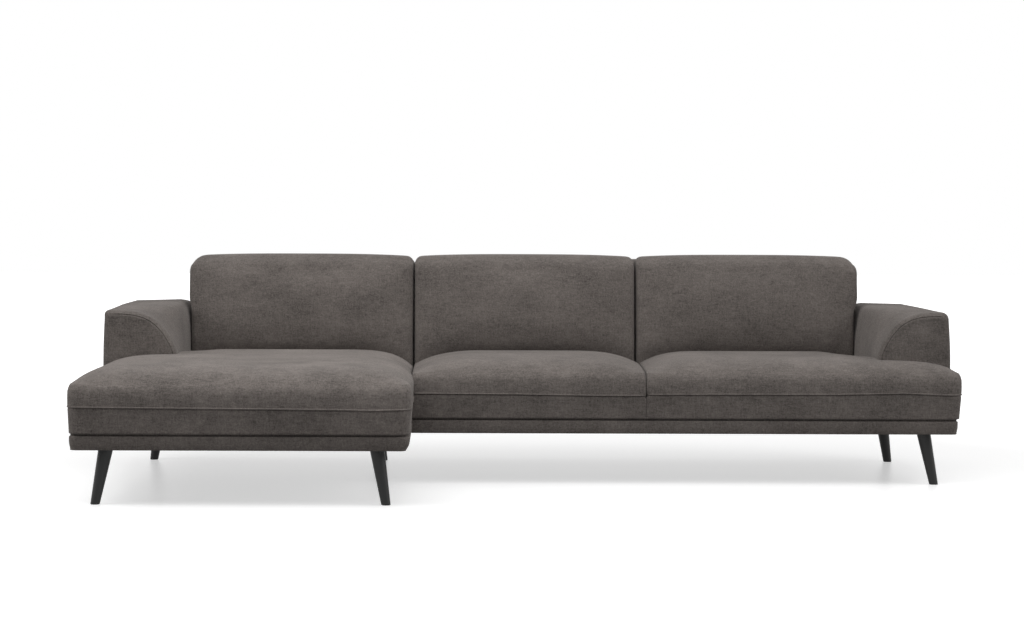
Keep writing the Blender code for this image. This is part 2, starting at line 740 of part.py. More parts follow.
def cushion_point(place, width, height, left, right):
    """A back cushion's surface point for a place on the divided cube.

    A box with rounded corners in the front view and rounded front and top edges, whose face
    leans back towards the top and swells over the seat. A side that swells does so over the arm.
    """
    depth = CUSHION_DEPTH
    x = width * eased(place.x)
    y = depth * (place.y + 1.0) / 2.0
    z, share = cushion_height(place.z, height)
    face_share = 1.0 - y / depth
    middle = 1.0 - abs(place.x) ** CUSHION_CROWN_POWER
    forward = CUSHION_BULGE * cushion_swell(share) * blend(EDGE_SWELL_LEFT, 1.0, middle) * face_share
    lean = CUSHION_RECLINE * share * face_share
    above = height - z
    if share > 0.0:
        x, above = round_corner(x, above, left.corner)
        from_right, above = round_corner(width - x, above, right.corner)
        x = width - from_right
        y, above = round_corner(y, above, CUSHION_TOP_ROLL)
        from_rear, above = round_corner(depth - y, above, CUSHION_TOP_ROLL / 2.0)
        y = depth - from_rear
        z = height - CUSHION_CROWN - above + CUSHION_CROWN * middle * share
    x, y = round_corner(x, y, CUSHION_SIDE_ROLL)
    from_right, y = round_corner(width - x, y, CUSHION_SIDE_ROLL)
    x = width - from_right
    over_arm = smooth_step((z + FOAM_BOTTOM - CUSHION_SIDE_SWELL_START) / CUSHION_SIDE_SWELL_REACH)
    to_right = (x / width) ** CUSHION_SIDE_SWELL_POWER
    to_left = (1.0 - x / width) ** CUSHION_SIDE_SWELL_POWER
    x += over_arm * (right.swell * to_right - left.swell * to_left)
    return Vector((x, y + lean - forward, z))


def make_cushion(name, low_x, high_x, left, right, parent):
    """A back cushion standing on the deck between the seat's rear and the outer back."""
    low_x += CUSHION_GAP / 2.0
    width = high_x - CUSHION_GAP / 2.0 - low_x
    height = CUSHION_TOP - FOAM_BOTTOM
    shape = divided_cube(CUSHION_CELLS)
    for vertex in shape.verts:
        vertex.co = cushion_point(vertex.co, width, height, left, right)
    cushion = add_piece(name, shape, (low_x, CUSHION_FACE, FOAM_BOTTOM), FABRIC, parent)
    cushion.data.shade_smooth()


def make_cushions(chaise, sofa):
    """The three back cushions. The outer ones swell over the arms."""
    make_cushion("back_cushion_left", LEFT_ARM_INNER, MODULE_PLANE, OUTER_END, INNER_END, chaise)
    make_cushion("back_cushion_centre", MODULE_PLANE, SEAT_SPLIT, INNER_END, INNER_END, sofa)
    make_cushion("back_cushion_right", SEAT_SPLIT, RIGHT_ARM_INNER, INNER_END, OUTER_END, sofa)


def make_leg(name, foot_x, foot_y, out_x, out_y, board, parent):
    """A tapered leg leaning outwards, its plate under the base board and the bolt that joins them."""
    lean = (-out_x * LEG_SPLAY / LEG_HEIGHT, -out_y * LEG_SPLAY / LEG_HEIGHT)
    foot = (foot_x, foot_y, 0.0)
    turned = leaning_rod(LEG_FOOT_RADIUS, LEG_TOP_RADIUS, 0.0, LEG_TOP, lean, LEG_SIDES)
    leg = add_piece(name, turned, foot, BLACK_WOOD, parent)
    smooth_sides(leg)
    top_x = foot_x + lean[0] * PLATE_TOP
    top_y = foot_y + lean[1] * PLATE_TOP
    half = PLATE_SIZE / 2.0
    plate = box_between(
        f"{name}_plate",
        (top_x - half, top_y - half, PLATE_TOP - PLATE_THICKNESS),
        (top_x + half, top_y + half, PLATE_TOP),
        STEEL,
        parent,
    )
    low = LEG_TOP - BOLT_IN_LEG
    high = BOARD_BOTTOM + BOLT_IN_BOARD
    bolt = leaning_rod(BOLT_RADIUS, BOLT_RADIUS, low, high, lean, BOLT_SIDES)
    smooth_sides(add_piece(f"{name}_bolt", bolt, foot, STEEL, parent))
    hole_radius = BOLT_RADIUS + GAP
    hole = leaning_rod(hole_radius, hole_radius, low - GAP, high + GAP, lean, BOLT_SIDES)
    cutter = cutter_from(f"{name}_hole", hole, foot)
    cut(leg, cutter)
    cut(plate, cutter)
    cut(board, cutter)


def make_legs(chaise_boards, sofa_boards, chaise, sofa):
    """Four legs under the chaise and two at the free end of the two-seat module."""
    rear_y = BACK - LEG_REAR_INSET
    chaise_y = CHAISE_FRONT + LEG_FRONT_INSET
    sofa_y = SOFA_FRONT + LEG_FRONT_INSET
    outer_front = LEFT + LEG_SIDE_INSET_FRONT
    outer_rear = LEFT + LEG_SIDE_INSET_REAR
    inner_front = MODULE_PLANE - LEG_INNER_INSET_FRONT
    inner_rear = MODULE_PLANE - LEG_INNER_INSET_REAR
    front_board = chaise_boards["front"]
    rear_board = chaise_boards["rear"]
    make_leg("leg_chaise_front_left", outer_front, chaise_y, -1, -1, front_board, chaise)
    make_leg("leg_chaise_front_right", inner_front, chaise_y, 1, -1, front_board, chaise)
    make_leg("leg_chaise_rear_left", outer_rear, rear_y, -1, 1, rear_board, chaise)
    make_leg("leg_chaise_rear_right", inner_rear, rear_y, 1, 1, rear_board, chaise)
    make_leg("leg_sofa_front", RIGHT - LEG_SIDE_INSET_FRONT, sofa_y, 1, -1, sofa_boards["front"], sofa)
    make_leg("leg_sofa_rear", RIGHT - LEG_SIDE_INSET_REAR, rear_y, 1, 1, sofa_boards["rear"], sofa)


def make_links(parent):
    """Two flat steel plates under the side boards that hold the modules together."""
    top = BOARD_BOTTOM - GAP
    front = SOFA_FRONT + BOARD_DEPTH + LINK_INSET
    rear = BACK - BOARD_DEPTH - LINK_INSET - LINK_WIDTH
    for name, start in (("link_plate_front", front), ("link_plate_rear", rear)):
        low = (MODULE_PLANE - LINK_LENGTH / 2.0, start, top - LINK_THICKNESS)
        high = (MODULE_PLANE + LINK_LENGTH / 2.0, start + LINK_WIDTH, top)
        box_between(name, low, high, STEEL, parent)


def make_chaise_seat(zone, parent):
    """The chaise's L-shaped cover and foam: full width in front of the arm, narrower beside it."""
    right_side = chaise_right_side
    seat = Seat(LEFT, CHAISE_RIGHT, CHAISE_FRONT, FREE_SIDE, right_side, CHAISE_CROWN, LEFT_ARM_INNER, LEFT_ARM_DIP)
    cover = make_seat_cover("chaise_seat_cover", seat, CHAISE_CELLS, parent)
    notch = arm_notch("left_arm_notch", LEFT_ARM_INNER, LEFT, GAP)
    lobe = foam_zone("chaise_lobe_zone", LEFT, CHAISE_RIGHT, CHAISE_FRONT, ARM_FRONT - GAP)
    main = foam_zone("chaise_foam_zone", LEFT_ARM_INNER + GAP, CHAISE_RIGHT, CHAISE_FRONT, SEAT_REAR)
    cut(cover, notch, zone, lobe, main)
    foam = make_foam("chaise_foam", LEFT, CHAISE_RIGHT, CHAISE_FRONT, parent)
    cut(foam, arm_notch("chaise_foam_notch", LEFT_ARM_INNER, LEFT, COVER_THICKNESS + 2.0 * GAP))


def make_centre_seat(zone, parent):
    """The centre seat, between the chaise and the split."""
    split = SEAT_SPLIT - GAP
    seat = Seat(SOFA_LEFT, split, SOFA_FRONT, MODULE_SIDE, SPLIT_SIDE, SOFA_CROWN, RIGHT_ARM_INNER, 0.0)
    cover = make_seat_cover("centre_seat_cover", seat, CENTRE_CELLS, parent)
    cut(cover, zone, foam_zone("centre_foam_zone", SOFA_LEFT, split, SOFA_FRONT, SEAT_REAR))
    make_foam("centre_foam", SOFA_LEFT, split, SOFA_FRONT, parent)


def make_right_seat(zone, parent):
    """The right seat, which widens in front of the arm."""
    split = SEAT_SPLIT + GAP
    seat = Seat(split, RIGHT, SOFA_FRONT, SPLIT_SIDE, FREE_SIDE, SOFA_CROWN, RIGHT_ARM_INNER, RIGHT_ARM_DIP)
    cover = make_seat_cover("right_seat_cover", seat, RIGHT_CELLS, parent)
    notch = arm_notch("right_arm_notch", RIGHT_ARM_INNER, RIGHT, GAP)
    lobe = foam_zone("right_lobe_zone", split, RIGHT, SOFA_FRONT, ARM_FRONT - GAP)
    main = foam_zone("right_foam_zone", split, RIGHT_ARM_INNER - GAP, SOFA_FRONT, SEAT_REAR)
    cut(cover, notch, zone, lobe, main)
    foam = make_foam("right_foam", split, RIGHT, SOFA_FRONT, parent)
    cut(foam, arm_notch("right_foam_notch", RIGHT_ARM_INNER, RIGHT, COVER_THICKNESS + 2.0 * GAP))


def make_parent(name):
    """An empty that a module's pieces hang from."""
    parent = bpy.data.objects.new(name, None)
    bpy.data.collections[COLLECTION_NAME].objects.link(parent)
    return parent


def make_module_frame(module, parent):
    """A module's base boards, rails, webbing and dust cover."""
    boards = make_base_boards(module, parent)
    make_rails(module, parent)
    make_webbing(module, parent)
    make_dust_cover(module, parent)
    return boards


def main():
    """Build the whole sofa."""
    clear_scene()
    make_collection(COLLECTION_NAME)
    make_collection(CUTTER_COLLECTION_NAME)
    chaise = make_parent("chaise_module")
    sofa = make_parent("two_seat_module")
    chaise_boards = make_module_frame(CHAISE, chaise)
    sofa_boards = make_module_frame(SOFA, sofa)
    make_chaise_cross_rail(chaise)
    make_sofa_cross_rail(sofa)
    chaise_zone = frame_zone(CHAISE)
    sofa_zone = frame_zone(SOFA)
    make_chaise_seat(chaise_zone, chaise)
    make_centre_seat(sofa_zone, sofa)
    make_right_seat(sofa_zone, sofa)
    make_arm("left", LEFT, 1, chaise_zone, chaise)
    make_arm("right", RIGHT, -1, sofa_zone, sofa)
    make_back(CHAISE, LEFT_ARM_INNER + GAP, CHAISE_RIGHT, chaise_zone, chaise)
    make_back(SOFA, SOFA_LEFT, RIGHT_ARM_INNER - GAP, sofa_zone, sofa)
    make_cushions(chaise, sofa)
    make_legs(chaise_boards, sofa_boards, chaise, sofa)
    make_links(sofa)


main()
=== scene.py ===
"""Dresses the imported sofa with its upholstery, seams, legs, materials, floor, light and camera.

Laid out as an add-on and run as a script. Every upholstered piece is a surface worked out with
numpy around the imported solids, in metres and in the same frame.
"""

import itertools
import json
import math
from collections import namedtuple

import bmesh
import bpy
import numpy as np
from bpy.props import FloatProperty, FloatVectorProperty, PointerProperty
from mathutils import Matrix, Vector


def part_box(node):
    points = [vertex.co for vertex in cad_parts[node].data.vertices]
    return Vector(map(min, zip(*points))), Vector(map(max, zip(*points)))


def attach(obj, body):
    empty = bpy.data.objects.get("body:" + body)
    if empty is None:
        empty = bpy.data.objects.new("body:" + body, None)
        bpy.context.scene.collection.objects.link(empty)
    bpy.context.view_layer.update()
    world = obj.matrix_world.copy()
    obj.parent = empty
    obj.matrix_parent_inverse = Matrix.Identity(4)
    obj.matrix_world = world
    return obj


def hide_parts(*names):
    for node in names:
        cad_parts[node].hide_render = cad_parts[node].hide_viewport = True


bl_info = {
    "name": "Sofa with chaise upholstery",
    "version": (1, 0, 0),
    "blender": (4, 5, 0),
    "location": "View3D > Sidebar > Sofa",
    "description": "Covers, cushions, base bands, legs and a studio for a sofa with a chaise",
    "category": "Add Mesh",
}

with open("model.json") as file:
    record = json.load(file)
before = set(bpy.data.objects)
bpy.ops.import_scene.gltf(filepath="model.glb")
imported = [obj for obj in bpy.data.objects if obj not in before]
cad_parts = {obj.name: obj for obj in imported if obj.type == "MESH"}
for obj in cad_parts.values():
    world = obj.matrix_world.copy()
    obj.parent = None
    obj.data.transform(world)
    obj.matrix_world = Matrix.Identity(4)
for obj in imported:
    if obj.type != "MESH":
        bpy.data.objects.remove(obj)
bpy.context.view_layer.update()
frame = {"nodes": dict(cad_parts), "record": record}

MODULES = ("chaise", "sofa")
BASE_SIDES = ("front", "rear", "left", "right")
FLOOR_SIZE = 60.0
CLOTH_VOXEL = 0.0075
CLOTH_TRAVEL = 0.006
CLOTH_FRAMES = 16
TINY = 1e-9
CLEARANCE = 0.0003
QUARTER = math.pi / 2.0
WHITE = (1.0, 1.0, 1.0, 1.0)


def low_corner(node):
    """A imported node's lowest corner."""
    return np.array(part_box(node)[0])


def high_corner(node):
    """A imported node's highest corner."""
    return np.array(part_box(node)[1])


BACK = high_corner("chaise_back")[1]
BASE_BOTTOM = low_corner("chaise_base_front")[2]
BASE_TOP = high_corner("chaise_base_front")[2]
SEAT_BOTTOM = low_corner("left_arm")[2]
SEAT_REAR = high_corner("centre_seat_cover")[1]
CHAISE_FRONT = low_corner("chaise_base_front")[1]
SOFA_FRONT = low_corner("sofa_base_front")[1]
ARM_FRONT = low_corner("left_arm")[1]
LEFT = low_corner("left_arm")[0]
RIGHT = high_corner("right_arm")[0]
LEFT_ARM_INNER = high_corner("left_arm")[0]
RIGHT_ARM_INNER = low_corner("right_arm")[0]
CHAISE_RIGHT = high_corner("chaise_base_right")[0]
SOFA_LEFT = low_corner("sofa_base_left")[0]
SPLIT = (low_corner("back_cushion_right")[0] + high_corner("back_cushion_centre")[0]) / 2.0
CENTRE_RIGHT = SPLIT - CLEARANCE
RIGHT_SEAT_LEFT = SPLIT + CLEARANCE
CUSHION_FACE = SEAT_REAR + CLEARANCE
BACK_FACE = low_corner("chaise_back")[1]
LEG_TOP = high_corner("leg_sofa_front")[2]


def metres(label, default):
    """A length in the panel."""
    return FloatProperty(name=label, default=default, unit="LENGTH")


def shade(label, default):
    """A colour in the panel."""
    return FloatVectorProperty(name=label, subtype="COLOR", default=default)


class SofaSizes(bpy.types.PropertyGroup):
    """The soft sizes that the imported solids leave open."""

    cell: metres("Size of a surface cell", 0.009)
    seat_edge: metres("Height of the seat wall", 0.161)
    widest: metres("Height of the wall's swell", 0.134)
    rear_rise: metres("Seat top at the rear", 0.202)
    crown_reach: metres("Roll's reach", 0.26)
    seat_bulge: metres("Front wall's swell", 0.010)
    end_bulge: metres("Free end's swell", 0.0135)
    left_bulge: metres("Chaise's outer side", 0.009)
    front_lean: metres("Front leans back", 0.012)
    chaise_bulge: metres("Chaise's free side", 0.011)
    seam_height: metres("Seam over the base", 0.083)
    seam_ridge: metres("Lapped edge", 0.0026)
    arm_roll: metres("Roll to the arm's front", 0.024)
    cushion_bulge: metres("Back cushion", 0.030)
    cushion_lean: metres("Face leans back", 0.023)
    leg_top_radius: metres("At the plate", 0.0245)
    leg_foot_radius: metres("At the floor", 0.0155)


class SofaColours(bpy.types.PropertyGroup):
    """The colours of the finishes."""

    fabric: shade("Woven cover", (0.142, 0.125, 0.115))
    legs: shade("Stained wood", (0.008, 0.008, 0.008))
    timber: shade("Frame", (0.50, 0.35, 0.20))
    foam: shade("Seat slabs", (0.80, 0.76, 0.60))
    floor: shade("Studio floor", (0.65, 0.65, 0.65))


def sizes():
    """The scene's soft sizes."""
    return bpy.context.scene.sofa_sizes


def colours():
    """The scene's colours."""
    return bpy.context.scene.sofa_colours


def held(value, reach=1.0):
    """A distance as a share of a reach, held between 0 and 1."""
    return np.clip(value, 0.0, reach) / reach


def smooth(value):
    """0 below 0, 1 above 1 and a smooth rise between, for whole arrays."""
    share = held(value)
    return share * share * (3.0 - 2.0 * share)


def mix(first, second, share):
    """The value a share of the way from the first to the second."""
    return first + (second - first) * share


def bump_at(value, centre, width):
    """A bell-shaped bump of height 1 at a centre."""
    return np.exp(-(((value - centre) / width) ** 2))


def ripple(x, y, seed, scale):
    """A smooth uneven field in [-1, 1]: a sum of slanted sine waves with fixed seeded phases."""
    rng = np.random.default_rng(seed)
    total = np.zeros(np.broadcast(x, y).shape)
    weight = 0.0
    for step in range(7):
        angle = rng.uniform(0.0, math.pi)
        wave = (2.0 * math.pi / scale) * rng.uniform(0.6, 1.9)
        share = 1.0 / (1.0 + 0.3 * step)
        along = x * math.cos(angle) + y * math.sin(angle)
        total = total + share * np.sin(wave * along + rng.uniform(0.0, 6.28))
        weight += share
    return total / weight


def block_surface(*places):
    """Points on a block's surface, at places along its three axes: three arrays, and its outward quads.

    Each face is a grid of whole-number corners. Equal corners of neighbouring faces are merged.
    """
    counts = [len(place) - 1 for place in places]
    quads = []
    for axis, side in itertools.product(range(3), (0, 1)):
        first, second = [index for index in range(3) if index != axis]
        i, j = np.meshgrid(np.arange(counts[first]), np.arange(counts[second]), indexing="ij")
        corners = []
        for di, dj in ((0, 0), (1, 0), (1, 1), (0, 1)):
            corner = np.zeros((i.size, 3), dtype=np.int64)
            corner[:, first] = (i + di).ravel()
            corner[:, second] = (j + dj).ravel()
            corner[:, axis] = counts[axis] * side
            corners.append(corner)
        block = np.stack(corners, axis=1)
        outward = (axis != 1) == (side == 1)
        quads.append(block if outward else block[:, ::-1])
    corners = np.concatenate(quads).reshape(-1, 3)
    key = (corners[:, 0] * (counts[1] + 1) + corners[:, 1]) * (counts[2] + 1) + corners[:, 2]
    _, chosen, inverse = np.unique(key, return_index=True, return_inverse=True)
    values = [place[corners[chosen, axis]] for axis, place in enumerate(places)]
    return *values, inverse.reshape(-1, 4)


def place_object(name, data):
    """An object in the scene that shows the data."""
    piece = bpy.data.objects.new(name, data)
    bpy.context.scene.collection.objects.link(piece)
    return piece


def mesh_from(name, points, faces):
    """A smooth-shaded mesh object from arrays of points and faces, at the origin."""
    mesh = bpy.data.meshes.new(name)
    mesh.from_pydata(points.tolist(), [], [list(face) for face in faces])
    mesh.update()
    mesh.shade_smooth()
    return place_object(name, mesh)


def face_outwards(piece):
    """Merge coincident points and turn every face outwards."""
    shape = bmesh.new()
    shape.from_mesh(piece.data)
    bmesh.ops.remove_doubles(shape, verts=shape.verts, dist=1e-6)
    bmesh.ops.recalc_face_normals(shape, faces=shape.faces)
    shape.to_mesh(piece.data)
    shape.free()
    piece.data.shade_smooth()


def tube(name, rings, capped=True):
    """A skin over rings of points, with a fan to the middle of each end unless the rings meet."""
    around = len(rings[0])
    ring, place = np.meshgrid(np.arange(len(rings) - 1), np.arange(around), indexing="ij")
    after = (place + 1) % around
    start = ring * around
    corners = [start + place, start + after, start + around + after, start + around + place]
    faces = np.stack(corners, axis=-1).reshape(-1, 4).tolist()
    points = [*rings]
    if capped:
        middle = len(rings) * around
        last = middle - around
        for index in range(around):
            turn = (index + 1) % around
            faces.append([middle, turn, index])
            faces.append([middle + 1, last + index, last + turn])
        points += [[rings[0].mean(axis=0)], [rings[-1].mean(axis=0)]]
    piece = mesh_from(name, np.concatenate(points), faces)
    face_outwards(piece)
    return piece


def edge_rise():
    """The share of the roll that a free edge's wall has already climbed."""
    return math.sqrt(1.0 - (1.0 - FREE_EDGE_INSET / sizes().crown_reach) ** 3.0)


def free_rise(distance):
    """A free edge's share of the crown: sqrt(1 - (1 - d / reach) ** 3), counted from the wall's top."""
    roll = np.sqrt(1.0 - (1.0 - held(distance + FREE_EDGE_INSET, sizes().crown_reach)) ** 3.0)
    return (roll - edge_rise()) / (1.0 - edge_rise())


def valley_rise(distance, power):
    """A valley edge's share of the crown: 1 - (1 - d / reach) ** power."""
    return 1.0 - (1.0 - held(distance, sizes().crown_reach)) ** power


def near_edge(distance, reach):
    """1 at an edge and 0 at a reach from it: (1 - d / reach) ** 2."""
    return (1.0 - held(distance, reach)) ** 2.0


def round_corner(first, second, radius):
    """Two distances from a pair of faces, with the square corner between them made round."""
    away_first = np.maximum(radius - first, 0.0)
    away_second = np.maximum(radius - second, 0.0)
    length = np.hypot(away_first, away_second)
    in_corner = (away_first > 0) & (away_second > 0)
    scale = np.where(in_corner, np.maximum(away_first, away_second) / (length + TINY), 1.0)
    return (
        np.where(away_first > 0, radius - away_first * scale, first),
        np.where(away_second > 0, radius - away_second * scale, second),
    )


def round_far_corner(length, first, second, radius):
    """The same where the first face stands at a length."""
    from_far, second = round_corner(length - first, second, radius)
    return length - from_far, second


def spaced(length, cell, crowd):
    """Places from 0 to length, a cell apart in the middle and crowded towards both ends."""
    count = max(6, int(round(length / cell)))
    even = np.linspace(-1.0, 1.0, count + 1)
    return length * (1.0 + mix(even, np.sin(even * QUARTER), crowd)) / 2.0


def wall_levels(height, seam):
    """Levels up a seat wall, with fine rows at the seam and near the top edge."""
    coarse = np.linspace(0.0, height, 15)
    fine = seam + np.linspace(-0.006, 0.007, 14)
    edges = np.array([0.0015, 0.0035, 0.0065, height - 0.003, height - 0.0065])
    levels = np.concatenate([coarse[np.abs(coarse - seam) > 0.009], fine, edges])
    levels.sort()
    return levels


FREE_EDGE_INSET = 0.012
END_INSET = 0.007
VALLEY_INSET = 0.004
FREE_CORNER = 0.035
VALLEY_CORNER = 0.014
SEWN_CORNER = 0.001
PINCH = 0.016
PINCH_REACH = 0.010
VALLEY_SINK = 0.006
VALLEY_POWER = 2.4
SPLIT_SLANT = 0.014
SPLIT_POWER = 3.2
CHAISE_POWER = 3.6
SINK_REACH = 0.080
REAR_FALL_REACH = 0.350
ARM_DIP_REACH = 0.160
CHAISE_FADE = 0.120
BAND_SHARE = 0.4
LAP_OFFSET = 0.0018
LAP_WIDTH = 0.0021
GROOVE_DEPTH = 0.0020
GROOVE_OFFSET = -0.0022
GROOVE_WIDTH = 0.0017
SEAM_START = 0.004
SEAM_WANDER_REACH = 0.030
TOP_UNEVEN = 0.0020
TOP_RIPPLE = 0.42
SIDE_SHARPNESS = 60
FOOT_TUCK = 0.0028

Side = namedtuple("Side", "bulge free corner inset sink slant power")
Seat = namedtuple("Seat", "name low_x high_x front left right crown dip_x dip seam_line seed")


def wall_offset(height, bulge, edge_inset):
    """How far a wall stands out at a height, for arrays.

    bulge * (0.4 + 0.6 * sin(h / widest * pi / 2) ** 1.3) up to the widest place, with a tucked foot.
    Over it, the wall rolls in by reach * (1 - (1 - s ** 2) ** (1 / 3)), s being the climbed share.
    """
    setup = sizes()
    climb = np.sin(QUARTER * held(height / setup.widest)) ** 1.3
    tuck = 1.0 - (1.0 - held(height, FOOT_TUCK)) ** 2.0
    low = bulge * (BAND_SHARE * tuck + (1.0 - BAND_SHARE) * climb)
    climbed = held((height - setup.widest) / (setup.seat_edge - setup.widest)) * edge_rise()
    rolled_in = setup.crown_reach * (1.0 - (1.0 - climbed**2.0) ** (1.0 / 3.0))
    return low - edge_inset * rolled_in / FREE_EDGE_INSET


def seat_top(seat, x, y, left, right):
    """The top's height over the wall's edge: the crown times its shares, less the fall, sinks and dip."""
    setup = sizes()
    width = seat.high_x - seat.low_x
    depth = SEAT_REAR - seat.front
    left_rise = mix(valley_rise(x, left.power), free_rise(x), left.free)
    right_rise = mix(valley_rise(width - x, right.power), free_rise(width - x), right.free)
    top = seat.crown * left_rise * right_rise * free_rise(y)
    top = top - (setup.seat_edge + seat.crown - setup.rear_rise) * near_edge(depth - y, REAR_FALL_REACH)
    top = top - left.sink * near_edge(x, SINK_REACH) - right.sink * near_edge(width - x, SINK_REACH)
    back_share = smooth((seat.front + y - ARM_FRONT) / (SEAT_REAR - ARM_FRONT))
    beside = smooth(1.0 - np.abs(seat.low_x + x - seat.dip_x) / ARM_DIP_REACH)
    return top - seat.dip * beside * back_share


def rear_height(seat, world_x):
    """A seat's height over the base along its rear edge, at places across the sofa."""
    setup = sizes()
    zero = np.zeros_like(world_x)
    left, right = [
        seat_side(kind, SEAT_REAR + zero, setup.seat_edge + zero) for kind in (seat.left, seat.right)
    ]
    x = np.clip(world_x - seat.low_x, 0.0, seat.high_x - seat.low_x)
    return setup.seat_edge + seat_top(seat, x, SEAT_REAR - seat.front + zero, left, right)


def seat_surface(seat):
    """A seat cover: a block whose walls swell and whose top is crowned, with a lapped seam round it.

    The seam is a ridge exp(-(h / w) ** 2) over a groove, and its height wanders along the front.
    """
    setup = sizes()
    width = seat.high_x - seat.low_x
    depth = SEAT_REAR - seat.front
    seam = setup.seam_height
    x, y, wall, quads = block_surface(
        spaced(width, setup.cell, 0.35), spaced(depth, setup.cell, 0.30), wall_levels(setup.seat_edge, seam)
    )
    left, right = [seat_side(kind, seat.front + y, wall) for kind in (seat.left, seat.right)]
    x, y = round_corner(x, y, left.corner)
    x, y = round_far_corner(width, x, y, right.corner)
    across = x / width
    along = y / depth
    top = seat_top(seat, x, y, left, right)
    settled = held(top / seat.crown) * (1.0 - near_edge(depth - y, 0.12))
    top = top + TOP_UNEVEN * ripple(seat.low_x + x, seat.front + y, seat.seed, TOP_RIPPLE) * settled
    lap = setup.seam_ridge * bump_at(wall, seam + LAP_OFFSET, LAP_WIDTH)
    lap = lap - GROOVE_DEPTH * bump_at(wall, seam + GROOVE_OFFSET, GROOVE_WIDTH)
    on_side = np.abs(2.0 * across - 1.0) ** SIDE_SHARPNESS
    left_lap = lap * left.free * on_side * (across < 0.5)
    right_lap = lap * right.free * on_side * (across > 0.5)
    left_out = wall_offset(wall, left.bulge, left.inset) * (1.0 - across)
    right_out = wall_offset(wall, right.bulge, right.inset) * across
    front_out = wall_offset(wall, setup.seat_bulge, FREE_EDGE_INSET) * (1.0 - along)
    front_out = front_out + lap * (1.0 - along) ** SIDE_SHARPNESS
    above_seam = held(wall - seam - SEAM_START, setup.seat_edge - seam - SEAM_START)
    front_out = front_out - setup.front_lean * above_seam**1.5 * (1.0 - along) ** 4
    slant = (2.0 * along - 0.64) * (right.slant * across**4 + left.slant * (1.0 - across) ** 4)
    seam_places, seam_offsets = zip(*seat.seam_line)
    wander = np.interp(across, seam_places, seam_offsets) * bump_at(wall, seam, SEAM_WANDER_REACH)
    crowned = top * (wall / setup.seat_edge) ** 3
    points = [
        seat.low_x + x - left_out - left_lap + right_out + right_lap + slant,
        seat.front + y - front_out,
        SEAT_BOTTOM + wall + crowned + wander * (1.0 - near_edge(wall, SEAM_WANDER_REACH)),
    ]
    return mesh_from(seat.name, np.stack(points, axis=1), quads)


def cut_notch(piece, low, high):
    """Take a box out of a piece where an arm stands, and apply the cut."""
    shape = bmesh.new()
    size = Vector(high) - Vector(low)
    place = Matrix.Translation((Vector(high) + Vector(low)) / 2.0) @ Matrix.Diagonal((*size, 1.0))
    bmesh.ops.create_cube(shape, size=1.0, matrix=place)
    mesh = bpy.data.meshes.new("notch")
    shape.to_mesh(mesh)
    shape.free()
    notch = place_object("notch", mesh)
    boolean = piece.modifiers.new("notch", "BOOLEAN")
    boolean.operation = "DIFFERENCE"
    boolean.object = notch
    apply_modifiers(piece)
    bpy.data.objects.remove(notch)


def apply_modifiers(piece):
    """Keep a piece's evaluated shape as its own mesh."""
    bpy.context.view_layer.update()
    shown = piece.evaluated_get(bpy.context.evaluated_depsgraph_get())
    mesh = bpy.data.meshes.new_from_object(shown)
    piece.modifiers.clear()
    piece.data = mesh
    piece.data.shade_smooth()


def valley_corner(wall):
    """A valley's corner radius up the wall: a sewn line below the seam, pinched at it, open above."""
    seam = sizes().seam_height
    above = smooth((wall - seam) / (sizes().seat_edge - seam))
    open_corner = SEWN_CORNER + (VALLEY_CORNER - SEWN_CORNER) * above
    return open_corner + PINCH * bump_at(wall, seam - SEWN_CORNER, PINCH_REACH)


def seat_side(kind, world_y, wall):
    """A seat's side, at places from front to rear and heights up its wall.

    A free side swells, rolls evenly and has broad corners, flatter on the chaise's outer side. A
    module side meets the other module's seat in a shallow valley, and a split side meets the next
    seat on a line that slants towards the rear. The chaise's inner side is free in front of the
    two-seat module and a valley beside it.
    """
    setup = sizes()
    free = smooth((SOFA_FRONT - setup.seat_bulge - world_y) / CHAISE_FADE)
    inset = mix(VALLEY_INSET, END_INSET, free)
    sink = VALLEY_SINK * (1.0 - free)
    stands_free = (1.0, FREE_CORNER, END_INSET, 0.0, 0.0, VALLEY_POWER)
    valley = (0.0, 0.0, valley_corner(wall), VALLEY_INSET)
    return {
        "free": Side(setup.end_bulge, *stands_free),
        "outer": Side(setup.left_bulge, *stands_free),
        "module": Side(*valley, VALLEY_SINK, 0.0, VALLEY_POWER),
        "split": Side(*valley, 0.0, SPLIT_SLANT, SPLIT_POWER),
        "inner": Side(setup.chaise_bulge * free, free, FREE_CORNER, inset, sink, 0.0, CHAISE_POWER),
    }[kind]


def seat_table():
    """The three seats: their sides, crowns, dips beside the arms and the way each seam wanders."""
    chaise_line = ((0.0, 0.003), (0.26, 0.001), (0.42, 0.0), (0.80, -0.003), (0.88, -0.005), (1.0, -0.002))
    centre_line = ((0.0, 0.003), (0.45, 0.001), (0.80, -0.003), (1.0, -0.003))
    right_line = ((0.0, 0.001), (0.20, 0.002), (0.60, 0.003), (0.82, 0.008), (0.94, 0.002), (1.0, 0.002))
    chaise = (LEFT, CHAISE_RIGHT, CHAISE_FRONT, "outer", "inner", 0.0545, LEFT_ARM_INNER, 0.009)
    centre = (SOFA_LEFT, CENTRE_RIGHT, SOFA_FRONT, "module", "split", 0.047, RIGHT, 0.0)
    right = (RIGHT_SEAT_LEFT, RIGHT, SOFA_FRONT, "split", "free", 0.047, RIGHT_ARM_INNER, 0.018)
    return (
        Seat("chaise_seat", *chaise, chaise_line, 3),
        Seat("centre_seat", *centre, centre_line, 5),
        Seat("right_seat", *right, right_line, 8),
    )


def dress(piece, slot, *nodes, panel="", fill=None):
    """Ride a piece on the root body in place of its nodes, with its slot's material; fill is not used.

    A material is named after its slot, and after its panel where that has a copy of its own: the
    chaise's painted lighter, the arms' painted darker, and the seats' and the chaise's more mottled.
    """
    piece.data.materials.clear()
    piece.data.materials.append(bpy.data.materials["sofa_" + slot + panel])
    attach(piece, "root")
    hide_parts(*nodes)


